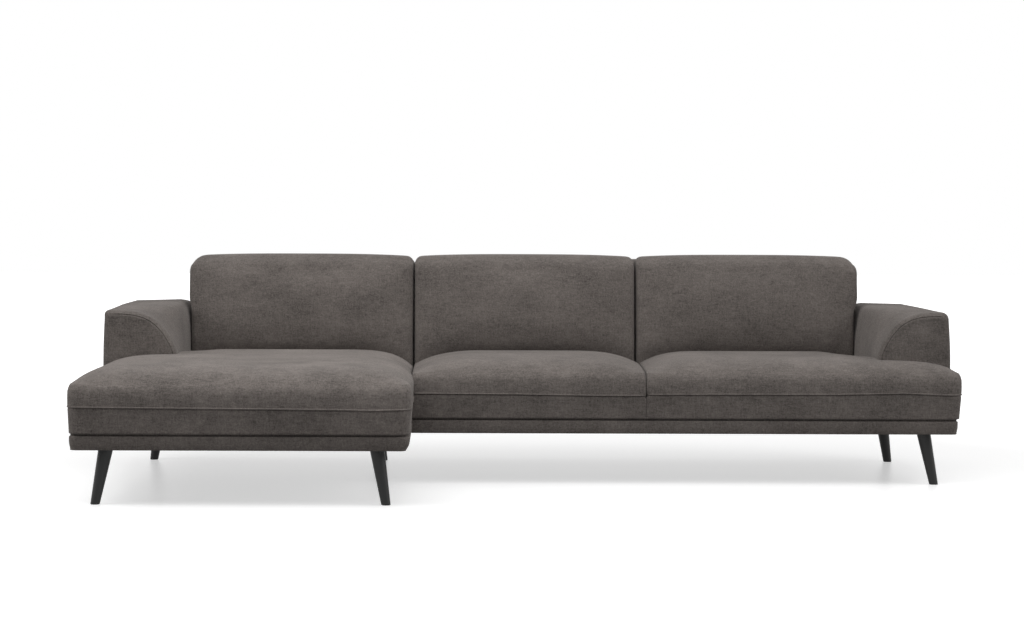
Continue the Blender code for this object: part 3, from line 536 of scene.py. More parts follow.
def set_inputs(node, values):
    """Set a node's inputs by their names."""
    for label, value in values.items():
        node.inputs[label].default_value = value


def math_node(tree, operation, first, second):
    """A math node fed by two sockets or numbers."""
    node = tree.nodes.new("ShaderNodeMath")
    node.operation = operation
    for index, value in enumerate((first, second)):
        if isinstance(value, bpy.types.NodeSocket):
            tree.links.new(value, node.inputs[index])
        else:
            node.inputs[index].default_value = value
    return node.outputs[0]


def scaled(tree, value, factor, offset):
    """A socket times a factor, plus an offset."""
    return math_node(tree, "ADD", math_node(tree, "MULTIPLY", value, factor), offset)


def map_range(tree, value, *limits):
    """A socket mapped from a range to another: from low, from high, to low, to high."""
    node = tree.nodes.new("ShaderNodeMapRange")
    set_inputs(node, dict(zip(("From Min", "From Max", "To Min", "To Max"), limits)))
    tree.links.new(value, node.inputs["Value"])
    return node.outputs["Result"]


def seen_rays(tree):
    """1 for the camera's rays, reflections and refractions, else 0."""
    path = tree.nodes.new("ShaderNodeLightPath")
    seen = math_node(tree, "MAXIMUM", path.outputs["Is Camera Ray"], path.outputs["Is Glossy Ray"])
    return math_node(tree, "MAXIMUM", seen, path.outputs["Is Transmission Ray"])


def stretched_noise(tree, coordinates, scale, detail):
    """Noise whose grain is stretched by a scale of its own along each axis."""
    mapping = tree.nodes.new("ShaderNodeMapping")
    set_inputs(mapping, {"Scale": scale})
    tree.links.new(coordinates, mapping.inputs["Vector"])
    noise = tree.nodes.new("ShaderNodeTexNoise")
    set_inputs(noise, {"Scale": 1.0, "Detail": detail, "Roughness": 0.6})
    tree.links.new(mapping.outputs["Vector"], noise.inputs["Vector"])
    return noise.outputs["Fac"]


def centred_noise(tree, coordinates, scale, detail):
    """Stretched noise around 0."""
    return math_node(tree, "SUBTRACT", stretched_noise(tree, coordinates, scale, detail), 0.5)


def crossed_noise(tree, coordinates, along, across):
    """Noise stretched along each axis in turn and added up, around 0."""
    scales = [[along if axis == own else across for axis in range(3)] for own in range(3)]
    first, second, third = [stretched_noise(tree, coordinates, scale, 2.0) for scale in scales]
    total = math_node(tree, "ADD", math_node(tree, "ADD", first, second), third)
    return math_node(tree, "SUBTRACT", total, 1.5)


def weave_group():
    """Woven cloth: a tone that scales a colour, and a height for the bump.

    Threads and flecks make the fine part, weighed by Thread; slubs, clouds and streaks make the
    slow part, weighed by Mottle.
    """
    group = bpy.data.node_groups.new("woven_cloth", "ShaderNodeTree")
    group.interface.new_socket("Vector", in_out="INPUT", socket_type="NodeSocketVector")
    for label, way in (("Thread", "INPUT"), ("Mottle", "INPUT"), ("Tone", "OUTPUT"), ("Height", "OUTPUT")):
        group.interface.new_socket(label, in_out=way, socket_type="NodeSocketFloat")
    start = group.nodes.new("NodeGroupInput")
    end = group.nodes.new("NodeGroupOutput")
    where = start.outputs["Vector"]
    threads = crossed_noise(group, where, 110.0, 420.0)
    streaks = crossed_noise(group, where, 35.0, 190.0)
    flecks = centred_noise(group, where, (900.0, 900.0, 900.0), 1.0)
    slubs = centred_noise(group, where, (28.0, 60.0, 75.0), 3.0)
    clouds = centred_noise(group, where, (6.0, 7.0, 8.0), 2.0)
    fine = math_node(group, "MULTIPLY", scaled(group, flecks, 0.6, threads), start.outputs["Thread"])
    slow = 0.0
    for noise, weight in ((slubs, 0.5), (clouds, 0.8), (streaks, 0.55)):
        slow = scaled(group, noise, weight, slow)
    slow = math_node(group, "MULTIPLY", slow, start.outputs["Mottle"])
    tone = math_node(group, "ADD", math_node(group, "ADD", fine, slow), 1.0)
    group.links.new(tone, end.inputs["Tone"])
    group.links.new(fine, end.inputs["Height"])


def new_material(name, colour, roughness):
    """A material with a Principled shader at set values. Returns its tree and the shader."""
    material = bpy.data.materials.new(name)
    material.use_nodes = True
    shader = material.node_tree.nodes["Principled BSDF"]
    set_inputs(shader, {"Base Color": (*colour, 1.0), "Roughness": roughness})
    return material.node_tree, shader


def object_coordinates(tree):
    """The Object output of a Texture Coordinate node."""
    return tree.nodes.new("ShaderNodeTexCoord").outputs["Object"]


def tinted(tree, shader, colour, factor):
    """Feed Base Color with a colour times a factor that changes over the surface."""
    scale = tree.nodes.new("ShaderNodeVectorMath")
    scale.operation = "SCALE"
    scale.inputs[0].default_value = colour
    tree.links.new(factor, scale.inputs["Scale"])
    tree.links.new(scale.outputs["Vector"], shader.inputs["Base Color"])


def bumped(tree, shader, height, strength, distance):
    """Feed the shader's Normal with a bump of a height."""
    bump = tree.nodes.new("ShaderNodeBump")
    set_inputs(bump, {"Strength": strength, "Distance": distance})
    tree.links.new(height, bump.inputs["Height"])
    tree.links.new(bump.outputs["Normal"], shader.inputs["Normal"])


def woven_material(name, colour, roughness, thread, mottle, bump):
    """A cloth tinted and bumped by the weave group, bump being a strength and a distance."""
    tree, shader = new_material(name, colour, roughness)
    weave = tree.nodes.new("ShaderNodeGroup")
    weave.node_tree = bpy.data.node_groups["woven_cloth"]
    set_inputs(weave, {"Thread": thread, "Mottle": mottle})
    tree.links.new(object_coordinates(tree), weave.inputs["Vector"])
    tinted(tree, shader, colour, weave.outputs["Tone"])
    bumped(tree, shader, weave.outputs["Height"], *bump)
    return shader


def grained_material(name, colour, roughness, grain, bump, tint=None, gloss=None):
    """A material bumped by stretched noise, which can change its colour and roughness as well.

    grain is the noise's scales and detail, bump a strength and a distance, and tint and gloss are
    the factor and offset that turn the noise into a colour factor and a roughness.
    """
    tree, shader = new_material(name, tuple(colour), roughness)
    noise = stretched_noise(tree, object_coordinates(tree), *grain)
    bumped(tree, shader, noise, *bump)
    if tint:
        tinted(tree, shader, tuple(colour), scaled(tree, noise, *tint))
    if gloss:
        tree.links.new(scaled(tree, noise, *gloss), shader.inputs["Roughness"])
    return shader


def fabric_material(name, painted_light_and_shade, mottle):
    """The warm grey-brown woven cover: melange tone, soft sheen and a thread bump.

    The second argument scales a panel's colour: above 1 it is painted light, as on the chaise's
    cover, and below 1 it is painted shade, as on the arms'. The mottle is how much hands and sitting
    have stroked the fibres about.
    """
    colour = tuple(channel * painted_light_and_shade for channel in colours().fabric)
    shader = woven_material(name, colour, 0.93, 0.75, mottle, (0.45, 0.0012))
    sheen = {"Sheen Weight": 0.18, "Sheen Roughness": 0.55, "Sheen Tint": (0.92, 0.88, 0.85, 1.0)}
    set_inputs(shader, {**sheen, "Specular IOR Level": 0.05})


def black_wood_material():
    """Black stained wood with a satin lacquer over a faint upright grain."""
    grain = ((180.0, 180.0, 9.0), 4.0)
    tint, gloss, bump = (1.1, 0.45), (0.22, 0.30), (0.15, 0.0006)
    shader = grained_material("sofa_black_wood", colours().legs, 0.5, grain, bump, tint, gloss)
    set_inputs(shader, {"Coat Weight": 0.08, "Coat Roughness": 0.3, "Specular IOR Level": 0.3})


def frame_materials():
    """Sawn softwood with long grain, open-cell foam, two dark technical cloths and brushed plated steel."""
    tones = colours()
    grained_material("sofa_frame_timber", tones.timber, 0.75, ((4.0, 6.0, 70.0), 5.0), (0.3, 0.001), (0.9, 0.55))
    grained_material("sofa_seat_foam", tones.foam, 0.95, ((500.0,) * 3, 2.0), (0.6, 0.001), (0.35, 0.82))
    woven_material("sofa_webbing", (0.10, 0.09, 0.08), 0.9, 1.0, 1.0, (0.5, 0.001))
    woven_material("sofa_dust_cloth", (0.02, 0.02, 0.02), 0.9, 1.0, 1.0, (0.5, 0.001))
    grain = ((40.0, 900.0, 900.0), 2.0)
    bump = (0.1, 0.0004)
    steel = grained_material("sofa_steel", (0.46, 0.46, 0.47), 0.4, grain, bump, gloss=(0.3, 0.25))
    set_inputs(steel, {"Metallic": 1.0})


ArmShape = namedtuple("ArmShape", "outer inward corner rear_top draw_in taper lean")
LEFT_ARM = ArmShape(LEFT, 1.0, 0.018, 0.6095, 0.0, 0.004, 0.0)
RIGHT_ARM = ArmShape(RIGHT, -1.0, 0.026, 0.6035, 0.0045, 0.006, 0.009)


ARM_BLEND = 0.450
ARM_FRONT_POWER = 3.3
ARM_REAR_POWER = 26.0
ARM_UP_POWER = 2.13
ARM_FRONT_TOP = 0.6045
ARM_CROWN = 0.009
ARM_SHOULDER = 0.400
ARM_SEAT_LINE = 0.440
ARM_FLARE = 0.013
ARM_FLARE_REACH = 0.30
ARM_LEAN_START = 0.15
ARM_PANEL_SWELL = 0.004
ARM_PANEL_INSETS = (0.085, 0.07, 0.058, 0.048, 0.040, 0.033, 0.028, 0.0255)
ARM_REAR_INSETS = (0.03, 0.05, 0.08)
ARM_SEAM = ((0.0008, 0.0122), (-0.0024, 0.0152))
ARM_SEAM_WIDTH = 0.0012


def arm_profile(arm, depth):
    """An arm's outline at a depth behind its front, from the outer foot over the top to the inner foot.

    The top is the superellipse u ** power + v ** 2.13 = 1, with a power of 3.3 at the front and 26
    at the back, over a rounded outer corner. Returns an array of (across, height over the base).
    """
    width = RIGHT - RIGHT_ARM_INNER
    share = float(smooth(depth / ARM_BLEND))
    power = ARM_FRONT_POWER * (ARM_REAR_POWER / ARM_FRONT_POWER) ** (share**1.4)
    top = mix(ARM_FRONT_TOP, arm.rear_top, share) - SEAT_BOTTOM
    shoulder = ARM_SHOULDER - SEAT_BOTTOM
    radius = arm.corner
    angle = np.linspace(0.0, QUARTER, 9, endpoint=False)
    corner = np.stack([radius * (1.0 - np.cos(angle)), top - radius * (1.0 - np.sin(angle))], axis=1)
    even = np.linspace(0.0, 1.0, 40)
    by_across = np.arcsin(held(mix(radius / width, 1.0, even)) ** (power / 2.0))
    by_angle = mix(math.asin((radius / width) ** (power / 2.0)), QUARTER, even)
    theta = (by_across + by_angle) / 2.0
    across = np.sin(theta) ** (2.0 / power)
    up = held(np.cos(theta)) ** (2.0 / ARM_UP_POWER)
    peak = top + ARM_CROWN * share * np.sin(math.pi * across)
    arch = np.stack([width * across, mix(shoulder, peak, up)], axis=1)
    rise_up = np.linspace(0.0, top - radius, 24, endpoint=False)
    outer = np.stack([np.zeros_like(rise_up), rise_up], axis=1)
    go_down = np.linspace(shoulder, 0.0, 12)[1:]
    inner = np.stack([np.full_like(go_down, width), go_down], axis=1)
    foot = np.linspace(width, 0.0, 16)[1:-1]
    bottom = np.stack([foot, np.zeros_like(foot)], axis=1)
    return np.concatenate([outer, corner, arch, inner, bottom])


def arm_stations(length, roll):
    """Depths and insets of an arm's rings: front panel, rolled edge, length, rear edge, rear panel."""
    front = [np.linspace(0.05, 0.32, 4), np.linspace(0.35, 0.62, 9), np.linspace(0.72, QUARTER, 7)]
    stations = [(0.0, inset) for inset in ARM_PANEL_INSETS]
    for angle in np.concatenate(front):
        stations.append((roll * (1.0 - math.cos(angle)), roll * (1.0 - math.sin(angle))))
    stations += [(depth, 0.0) for depth in np.linspace(roll, length - roll, 70)[1:]]
    for angle in np.linspace(0.12, QUARTER, 7):
        stations.append((length - roll * (1.0 - math.sin(angle)), roll * (1.0 - math.cos(angle))))
    return stations + [(length, inset) for inset in ARM_REAR_INSETS]


def arm_surface(name, arm):
    """An upholstered arm: profiles along its depth, drawn in at the rolled edges and closed by panels.

    The front panel has a slight swell, its foot flares a little towards the seat, and a fine seam
    runs round it on the roll.
    """
    roll = sizes().arm_roll
    middle = (RIGHT - RIGHT_ARM_INNER) / 2.0
    rings = []
    for depth, inset in arm_stations(BACK - ARM_FRONT, roll):
        profile = arm_profile(arm, depth)
        place = profile[:, 0] / (2.0 * middle)
        half = profile[:, 1].max() / 2.0
        across = middle + (profile[:, 0] - middle) * (1.0 - inset / middle)
        height = half + (profile[:, 1] - half) * (1.0 - inset / half)
        above_seat = height + SEAT_BOTTOM - ARM_SEAT_LINE
        low = 1.0 - smooth(above_seat / 0.12)
        high = smooth(above_seat / 0.13)
        across = across + (arm.draw_in + arm.taper * held(height - 0.19, 0.15) ** 2.0) * (1.0 - place)
        across = across + ARM_FLARE * low * place**3.0 * (1.0 - smooth(depth / ARM_FLARE_REACH))
        across = across - arm.lean * high * place**3.0 * smooth((depth - ARM_LEAN_START) / 0.30)
        swell = ARM_PANEL_SWELL * smooth((inset - roll) / 0.06) if depth == 0.0 else 0.0
        sewn = smooth((height - 0.06) / 0.08) * smooth((profile[:, 0] - 0.012) / 0.012)
        ridge = sum(size * bump_at(inset, at, ARM_SEAM_WIDTH) for size, at in ARM_SEAM)
        y = ARM_FRONT + depth - swell - ridge * sewn * (depth < roll)
        rings.append(np.stack([arm.outer + arm.inward * across, y, SEAT_BOTTOM + height], axis=1))
    return tube(name, rings)


CushionEnd = namedtuple("CushionEnd", "corner swell roll gap")
CUSHION_FRONT_ROLL = 0.050
CUSHION_REAR_ROLL = 0.025
CUSHION_OVER_SEAT = 0.002
CUSHION_ARCH = 0.009
CUSHION_PEAK = 0.28
CUSHION_UNEVEN = 0.0025
CUSHION_RIPPLE = 0.35
ARM_TOP_LINE = 0.575
LEFT_END = CushionEnd(0.058, 0.0085, 0.014, 0.0)
RIGHT_END = CushionEnd(0.058, 0.0155, 0.014, 0.0)
INNER_END = CushionEnd(0.026, 0.0, 0.022, 0.0016)
SPLIT_LEFT_END = CushionEnd(0.026, 0.0, 0.022, -0.0045)
SPLIT_RIGHT_END = CushionEnd(0.026, 0.0, 0.022, 0.0080)


def cushion_swell(share):
    """The face's swell at a share of its height: 1 - (1 - s / 0.28) ** 2.6 to its peak, then a parabola."""
    under = 1.0 - (1.0 - held(share / CUSHION_PEAK)) ** 2.6
    return under - held((share - CUSHION_PEAK) / (1.0 - CUSHION_PEAK)) ** 2.0


def cushion_surface(name, node, seat, left, right, seed):
    """A back cushion: a block with rounded corners, rolled edges and a face that leans and swells."""
    setup = sizes()
    low = low_corner("back_cushion_left") * (0.0, 1.0, 1.0) + low_corner(node) * (1.0, 0.0, 0.0)
    high = high_corner(node)
    low_x = max(low[0], LEFT_ARM_INNER + CLEARANCE) + left.gap
    high_x = min(high[0], RIGHT_ARM_INNER - CLEARANCE) - right.gap
    width = high_x - low_x
    depth = BACK_FACE - 2.0 * CLEARANCE - CUSHION_FACE
    height = high[2] - low[2]
    upper = (np.linspace(0.0, 1.0, 54) ** 1.25 + np.sin(np.linspace(0.0, QUARTER, 54))) / 2.0
    steps = np.concatenate([np.linspace(-1.0, 0.0, 12, endpoint=False), upper])
    x, y, step, quads = block_surface(spaced(width, setup.cell, 0.4), spaced(depth, setup.cell, 0.2), steps)
    foot = SEAT_BOTTOM + rear_height(seat, low_x + x) + CUSHION_OVER_SEAT - low[2]
    z = np.where(step < 0.0, foot * (1.0 + step), foot + (height - foot) * step)
    share = held(step)
    face_share = 1.0 - y / depth
    middle = 1.0 - np.abs(2.0 * x / width - 1.0) ** 3.0
    forward = setup.cushion_bulge * cushion_swell(share) * mix(0.35, 1.0, middle) * face_share
    lean = setup.cushion_lean * share * face_share
    above = height - z
    x, above = round_corner(x, above, left.corner)
    x, above = round_far_corner(width, x, above, right.corner)
    y, above = round_corner(y, above, CUSHION_FRONT_ROLL)
    y, above = round_far_corner(depth, y, above, CUSHION_REAR_ROLL)
    x, y = round_corner(x, y, left.roll)
    x, y = round_far_corner(width, x, y, right.roll)
    uneven = CUSHION_UNEVEN * ripple(low_x + x, z, seed, CUSHION_RIPPLE)
    uneven = uneven * np.sin(math.pi * share) * middle * face_share
    arched = height - CUSHION_ARCH - above + CUSHION_ARCH * middle * share
    top = np.where(share > 0.0, arched, z)
    over_arm = smooth((top + low[2] - ARM_TOP_LINE) / 0.060)
    side_out = over_arm * (right.swell * (x / width) ** 3.0 - left.swell * (1.0 - x / width) ** 3.0)
    face = CUSHION_FACE + y + lean - forward - uneven
    return mesh_from(name, np.stack([low_x + x + side_out, face, low[2] + top], axis=1), quads)


def plan_loop(low, high, radii):
    """A closed plan outline: a rectangle with four corner radii, from the front left, anticlockwise."""
    arcs = []
    for index, (to_x, to_y) in enumerate(((1, 1), (-1, 1), (-1, -1), (1, -1))):
        x = low[0] if to_x > 0 else high[0]
        y = low[1] if to_y > 0 else high[1]
        angle = math.pi + index * QUARTER + np.linspace(0.0, QUARTER, 9)
        arc = [x + radii[index] * (to_x + np.cos(angle)), y + radii[index] * (to_y + np.sin(angle))]
        arcs.append(np.stack(arc, axis=1))
    share = np.linspace(0.0, 1.0, 61, endpoint=False)[1:, None]
    sides = [mix(arcs[index][-1], arcs[(index + 1) % 4][0], share) for index in range(4)]
    return np.concatenate([part for pair in zip(arcs, sides) for part in pair])


BASE_LEAN = 0.006
BASE_EDGE = 0.0004
BASE_CORNER = 0.028
BUTTED_CORNER = 0.004
BUTTED_GAP = 0.0002
GROOVE_BACK = 0.0125
END_TUCK = 1.6


def base_ring(name, boards, free_left, swell):
    """A module's padded base: a closed ring whose wall leans in by 0.006 (1 - h) ** 3 towards its foot.

    Its top steps up at the back of the shadow groove, so that the groove ends on cloth. Its two ends
    swell by the values of swell, and the right one by 1 - 1.6 (1 - h) ** 3 of its value.
    """
    front, rear, left, right = boards
    low = np.array([low_corner(left)[0], low_corner(front)[1]])
    high = np.array([high_corner(right)[0], high_corner(rear)[1]])
    height = BASE_TOP - BASE_BOTTOM
    share = np.linspace(0.0, 1.0, 12)
    lean = BASE_LEAN * (1.0 - share) ** 3.0 + BASE_EDGE
    rim = [(lean[0] + 0.004, 0.0), (lean[0] + 0.001, 0.0006)]
    rim += [(inset, 0.002 + (height - 0.006) * level) for inset, level in zip(lean, share)]
    rim += [(0.0016, height - 0.0016), (0.004, height - 0.0002), (GROOVE_BACK, height)]
    step_top = SEAT_BOTTOM - CLEARANCE - BASE_BOTTOM
    rim += [(0.0128, step_top), (0.0142, step_top), (0.0144, height + 0.0001)]
    left_radius = BASE_CORNER if free_left else BUTTED_CORNER
    rings = []
    for inset, level in rim:
        end_inset = min(inset, 0.0045) + 0.2 * max(inset - GROOVE_BACK, 0.0)
        near_side = np.array([end_inset if free_left else BUTTED_GAP, inset * 0.6])
        far_side = np.array([end_inset, inset * 0.6])
        corners = (left_radius, BASE_CORNER, BASE_CORNER, left_radius)
        radii = [max(radius - inset * 0.5, 0.002) for radius in corners]
        loop = plan_loop(low + near_side, high - far_side, radii)
        place = (loop[:, 0] - low[0]) / (high[0] - low[0])
        beside = smooth((SOFA_FRONT - loop[:, 1]) / CHAISE_FADE)
        tuck_in = 1.0 - END_TUCK * (1.0 - min(level / height, 1.0)) ** 3.0
        loop[:, 0] += swell[1] * tuck_in * beside * place**12.0 - swell[0] * (1.0 - place) ** 12.0
        rings.append(np.column_stack([loop, np.full(len(loop), BASE_BOTTOM + level)]))
    hole_low = (high_corner(left)[0], high_corner(front)[1])
    hole_high = (low_corner(right)[0], low_corner(rear)[1])
    for level in (height, 0.0):
        loop = plan_loop(hole_low, hole_high, (0.003,) * 4)
        rings.append(np.column_stack([loop, np.full(len(loop), BASE_BOTTOM + level)]))
    rings.append(rings[0])
    piece = tube(name, rings, capped=False)
    piece.data.set_sharp_from_angle(angle=math.radians(60.0))
    return piece


def coordinates(mesh):
    """A mesh's points as an array."""
    values = np.zeros(len(mesh.vertices) * 3)
    mesh.vertices.foreach_get("co", values)
    return values.reshape(-1, 3)


def settle(piece, place_share):
    """Let a padded piece find its shape as cloth: pressure without gravity for CLOTH_FRAMES frames.

    Each point moves by its simulated travel, capped at CLOTH_TRAVEL, times place_share of its
    place, and one subdivision smooths the result.
    """
    remesh = piece.modifiers.new("remesh", "REMESH")
    remesh.mode = "VOXEL"
    remesh.voxel_size = CLOTH_VOXEL
    apply_modifiers(piece)
    before = coordinates(piece.data)
    held_points = piece.vertex_groups.new(name="held")
    share = place_share(before)
    held_points.add(np.flatnonzero(share < 0.02).tolist(), 1.0, "REPLACE")
    cloth = piece.modifiers.new("cloth", "CLOTH")
    cloth.settings.quality = 2
    cloth.settings.mass = 0.3
    cloth.settings.use_pressure = True
    cloth.settings.uniform_pressure_force = 4.0
    cloth.settings.effector_weights.gravity = 0.0
    cloth.settings.vertex_group_mass = "held"
    cloth.point_cache.frame_start = 1
    cloth.point_cache.frame_end = CLOTH_FRAMES
    scene = bpy.context.scene
    for step in range(1, CLOTH_FRAMES + 1):
        scene.frame_set(step)
    shown = piece.evaluated_get(bpy.context.evaluated_depsgraph_get())
    move = coordinates(shown.data) - before
    length = np.linalg.norm(move, axis=1)
    capped = CLOTH_TRAVEL * np.tanh(length / CLOTH_TRAVEL)
    points = before + move * (share * capped / (length + TINY))[:, None]
    piece.modifiers.clear()
    piece.vertex_groups.clear()
    piece.data.vertices.foreach_set("co", points.ravel())
    piece.data.update()
    scene.frame_set(1)
    piece.modifiers.new("subdivide", "SUBSURF").levels = 1
    apply_modifiers(piece)


def cushion_share(points):
    """How freely a cushion's point may travel: fully on its face, and not at its ends, rear and foot."""
    low = points.min(axis=0)
    high = points.max(axis=0)
    front = 1.0 - smooth((points[:, 1] - CUSHION_FACE + 0.005) / 0.050)
    ends = smooth((points[:, 0] - low[0] - 0.012) / 0.09) * smooth((high[0] - 0.012 - points[:, 0]) / 0.09)
    over_foot = smooth((points[:, 2] - SEAT_BOTTOM - 0.21) / 0.07)
    return front * ends * over_foot * smooth((high[2] - points[:, 2]) / 0.07)


def padded_box(name, low, high, radius, swell):
    """A padded box: a block with rounded edges whose faces swell by sqrt(4 u (1 - u)) of each direction."""
    size = np.array(high) - np.array(low)
    *values, quads = block_surface(*[spaced(length, sizes().cell * 1.6, 0.7) for length in size])
    rises = [held(4.0 * v / s * (1.0 - v / s)) ** 0.5 for v, s in zip(values, size)]
    near = [np.minimum(v, s - v) for v, s in zip(values, size)]
    for first, second in ((0, 2), (1, 2), (0, 1)):
        near[first], near[second] = round_corner(near[first], near[second], radius)
    points = []
    for axis, (value, length) in enumerate(zip(values, size)):
        first, second = [rise for index, rise in enumerate(rises) if index != axis]
        outwards = np.where(value < TINY, -1.0, np.where(value > length - TINY, 1.0, 0.0))
        place = np.where(value < length / 2.0, near[axis], length - near[axis])
        points.append(place + (swell * outwards * first * second + low[axis]))
    return mesh_from(name, np.stack(points, axis=1), quads)


HALF_HIDDEN_LEG = "leg_chaise_rear_right"
HALF_HIDDEN_SHIFT = 0.0095
LEG_RIM = 0.003


def leg_surface(node, foot):
    """A tapered leg: circles whose centres slide outwards from the plate to the foot, with an eased rim.

    The half hidden leg stands a little to the right, where its edge shows beside the leg in front.
    """
    setup = sizes()
    low = low_corner(node)
    high = high_corner(node)
    to_top = np.sign(((low + high) / 2.0)[:2] - foot[:2])
    spread = (high - low)[:2] - setup.leg_top_radius - setup.leg_foot_radius
    edge = np.linspace(0.0, QUARTER, 5)
    rim = LEG_RIM * (1.0 - np.cos(edge))
    heights = np.concatenate([rim, np.linspace(LEG_RIM, LEG_TOP, 26)[1:]])[:, None]
    radii = mix(setup.leg_foot_radius, setup.leg_top_radius, heights / LEG_TOP)
    radii[: len(edge), 0] -= LEG_RIM * 0.6 * (1.0 - np.sin(edge))
    angle = np.linspace(0.0, 2.0 * math.pi, 48, endpoint=False)
    slide = heights / LEG_TOP
    shift = HALF_HIDDEN_SHIFT if node == HALF_HIDDEN_LEG else 0.0
    x = foot[0] + shift + to_top[0] * spread[0] * slide + radii * np.cos(angle)
    y = foot[1] + to_top[1] * spread[1] * slide + radii * np.sin(angle)
    piece = tube("turned_" + node, np.stack([x, y, np.repeat(heights, len(angle), axis=1)], axis=2))
    piece.data.set_sharp_from_angle(angle=math.radians(50.0))
    return piece


MIDDLE = (0.0, 0.0, 0.4)
LAMPS = (
    ("overhead", (0.0, 0.0, 3.5), MIDDLE, (5.0, 3.0), 35.0),
    ("overhead_front", (0.0, -2.2, 3.2), (0.0, -0.2, 0.4), (5.0, 2.0), 43.0),
    ("overhead_chaise", (-0.85, -0.9, 2.7), (-0.85, -0.7, 0.4), (1.6, 1.2), 15.0),
    ("left", (-4.2, -1.2, 2.9), MIDDLE, (2.5, 2.5), 68.0),
    ("right", (4.2, -1.2, 2.9), MIDDLE, (2.5, 2.5), 59.0),
)


def area_light(name, place, aim, size, power):
    """A rectangular lamp at a place, aimed at a point."""
    lamp = bpy.data.lights.new(name, "AREA")
    lamp.shape = "RECTANGLE"
    lamp.size, lamp.size_y = size
    lamp.energy = power
    holder = place_object(name, lamp)
    holder.location = place
    holder.rotation_euler = (Vector(aim) - Vector(place)).to_track_quat("-Z", "Y").to_euler()


def make_camera():
    """The photograph's camera: level, a little above the backs and left of the middle, its frame shifted."""
    data = bpy.data.cameras.new("camera")
    data.sensor_width = 36.0
    data.lens = FOCAL_PIXELS * data.sensor_width / FRAME_WIDTH
    data.shift_x = (FRAME_WIDTH / 2.0 - AXIS_PIXEL[0]) / FRAME_WIDTH
    data.shift_y = (AXIS_PIXEL[1] - FRAME_HEIGHT / 2.0) / FRAME_WIDTH
    data.clip_end = 200.0
    camera = place_object("camera", data)
    camera.location = CAMERA_PLACE
    camera.rotation_euler = (QUARTER, math.radians(CAMERA_ROLL), 0.0)
    bpy.context.scene.camera = camera


FRAME_WIDTH = 1024.0
FRAME_HEIGHT = 619.0
FOCAL_PIXELS = 2402.4
AXIS_PIXEL = (444.3, 215.4)
CAMERA_PLACE = (-0.298, -8.562, 0.9445)
CAMERA_ROLL = -0.183


def floor_material():
    """A pale floor that keeps the sofa's shadow: part diffuse, part its own light for the camera's rays.

    Its own light rises from 0.465 near the middle to 1 at 4.2 m from it, and falls from front to rear:
    painted light towards the front and painted shade under the back of the sofa and behind it.
    """
    colour = tuple(colours().floor)
    tree, shader = new_material("studio_floor", colour, 0.35)
    set_inputs(shader, {"Emission Color": WHITE, "Specular IOR Level": 0.15})
    seen = seen_rays(tree)
    reach = tree.nodes.new("ShaderNodeVectorMath")
    reach.operation = "LENGTH"
    split = tree.nodes.new("ShaderNodeSeparateXYZ")
    for node in (reach, split):
        tree.links.new(object_coordinates(tree), node.inputs[0])
    fade = map_range(tree, reach.outputs["Value"], 2.3, 4.2, 0.465, 1.0)
    # Painted light towards the front and painted shade under the back of the sofa and behind it.
    painted_shade_to_rear = map_range(tree, split.outputs["Y"], -0.5, 0.5, 0.07, -0.03)
    glow = math_node(tree, "MULTIPLY", seen, math_node(tree, "ADD", fade, painted_shade_to_rear))
    tree.links.new(glow, shader.inputs["Emission Strength"])
    tinted(tree, shader, colour, scaled(tree, seen, 0.60, 0.40))


def make_world():
    """Plain soft light from all round, and a white background for the camera and for reflections."""
    world = bpy.data.worlds.new("studio")
    world.use_nodes = True
    tree = world.node_tree
    tree.nodes.clear()
    background = tree.nodes.new("ShaderNodeBackground")
    set_inputs(background, {"Color": WHITE})
    tree.links.new(scaled(tree, seen_rays(tree), 0.80, 0.20), background.inputs["Strength"])
    output = tree.nodes.new("ShaderNodeOutputWorld")
    tree.links.new(background.outputs["Background"], output.inputs["Surface"])
    bpy.context.scene.world = world


class SOFA_OT_materials(bpy.types.Operator):
    """Make the shared weave group and every material"""

    bl_idname = "sofa.materials"
    bl_label = "Make materials"

    def execute(self, context):
        weave_group()
        fabric_material("sofa_upholstery_fabric", 1.0, 0.9)
        fabric_material("sofa_upholstery_fabric_seats", 1.0, 1.1)
        # The chaise's copy is painted lighter and the arms' copy painted darker: painted light and painted shade
        # on one cloth.
        fabric_material("sofa_upholstery_fabric_chaise", 1.10, 1.1)
        fabric_material("sofa_upholstery_fabric_arms", 0.92, 1.0)
        black_wood_material()
        frame_materials()
        return {"FINISHED"}


class SOFA_OT_seats(bpy.types.Operator):
    """Make the chaise seat and the two sofa seats"""

    bl_idname = "sofa.seats"
    bl_label = "Make seats"

    def execute(self, context):
        gap = 0.0004
        chaise, centre, right = [seat_surface(seat) for seat in seat_table()]
        cut_notch(chaise, (LEFT - 0.2, ARM_FRONT - gap, 0.0), (LEFT_ARM_INNER + gap, BACK, 1.0))
        cut_notch(right, (RIGHT_ARM_INNER - gap, ARM_FRONT - gap, 0.0), (RIGHT + 0.2, BACK, 1.0))
        # The chaise seat takes the copy with painted light.
        panels = ("_chaise", "_seats", "_seats")
        for seat, name, panel in zip((chaise, centre, right), ("chaise", "centre", "right"), panels):
            nodes = (name + "_seat_cover", name + "_foam")
            dress(seat, "upholstery_fabric", *nodes, panel=panel, fill=0.9)
        return {"FINISHED"}


class SOFA_OT_back_cushions(bpy.types.Operator):
    """Make the three back cushions"""

    bl_idname = "sofa.back_cushions"
    bl_label = "Make back cushions"

    def execute(self, context):
        ends = {
            "left": (LEFT_END, INNER_END),
            "centre": (INNER_END, SPLIT_LEFT_END),
            "right": (SPLIT_RIGHT_END, RIGHT_END),
        }
        for seed, (name, seat) in enumerate(zip(ends, seat_table()), 11):
            node = "back_cushion_" + name
            cushion = cushion_surface("cushion_" + name, node, seat, *ends[name], seed)
            settle(cushion, cushion_share)
            dress(cushion, "upholstery_fabric", node, fill=0.85)
        return {"FINISHED"}


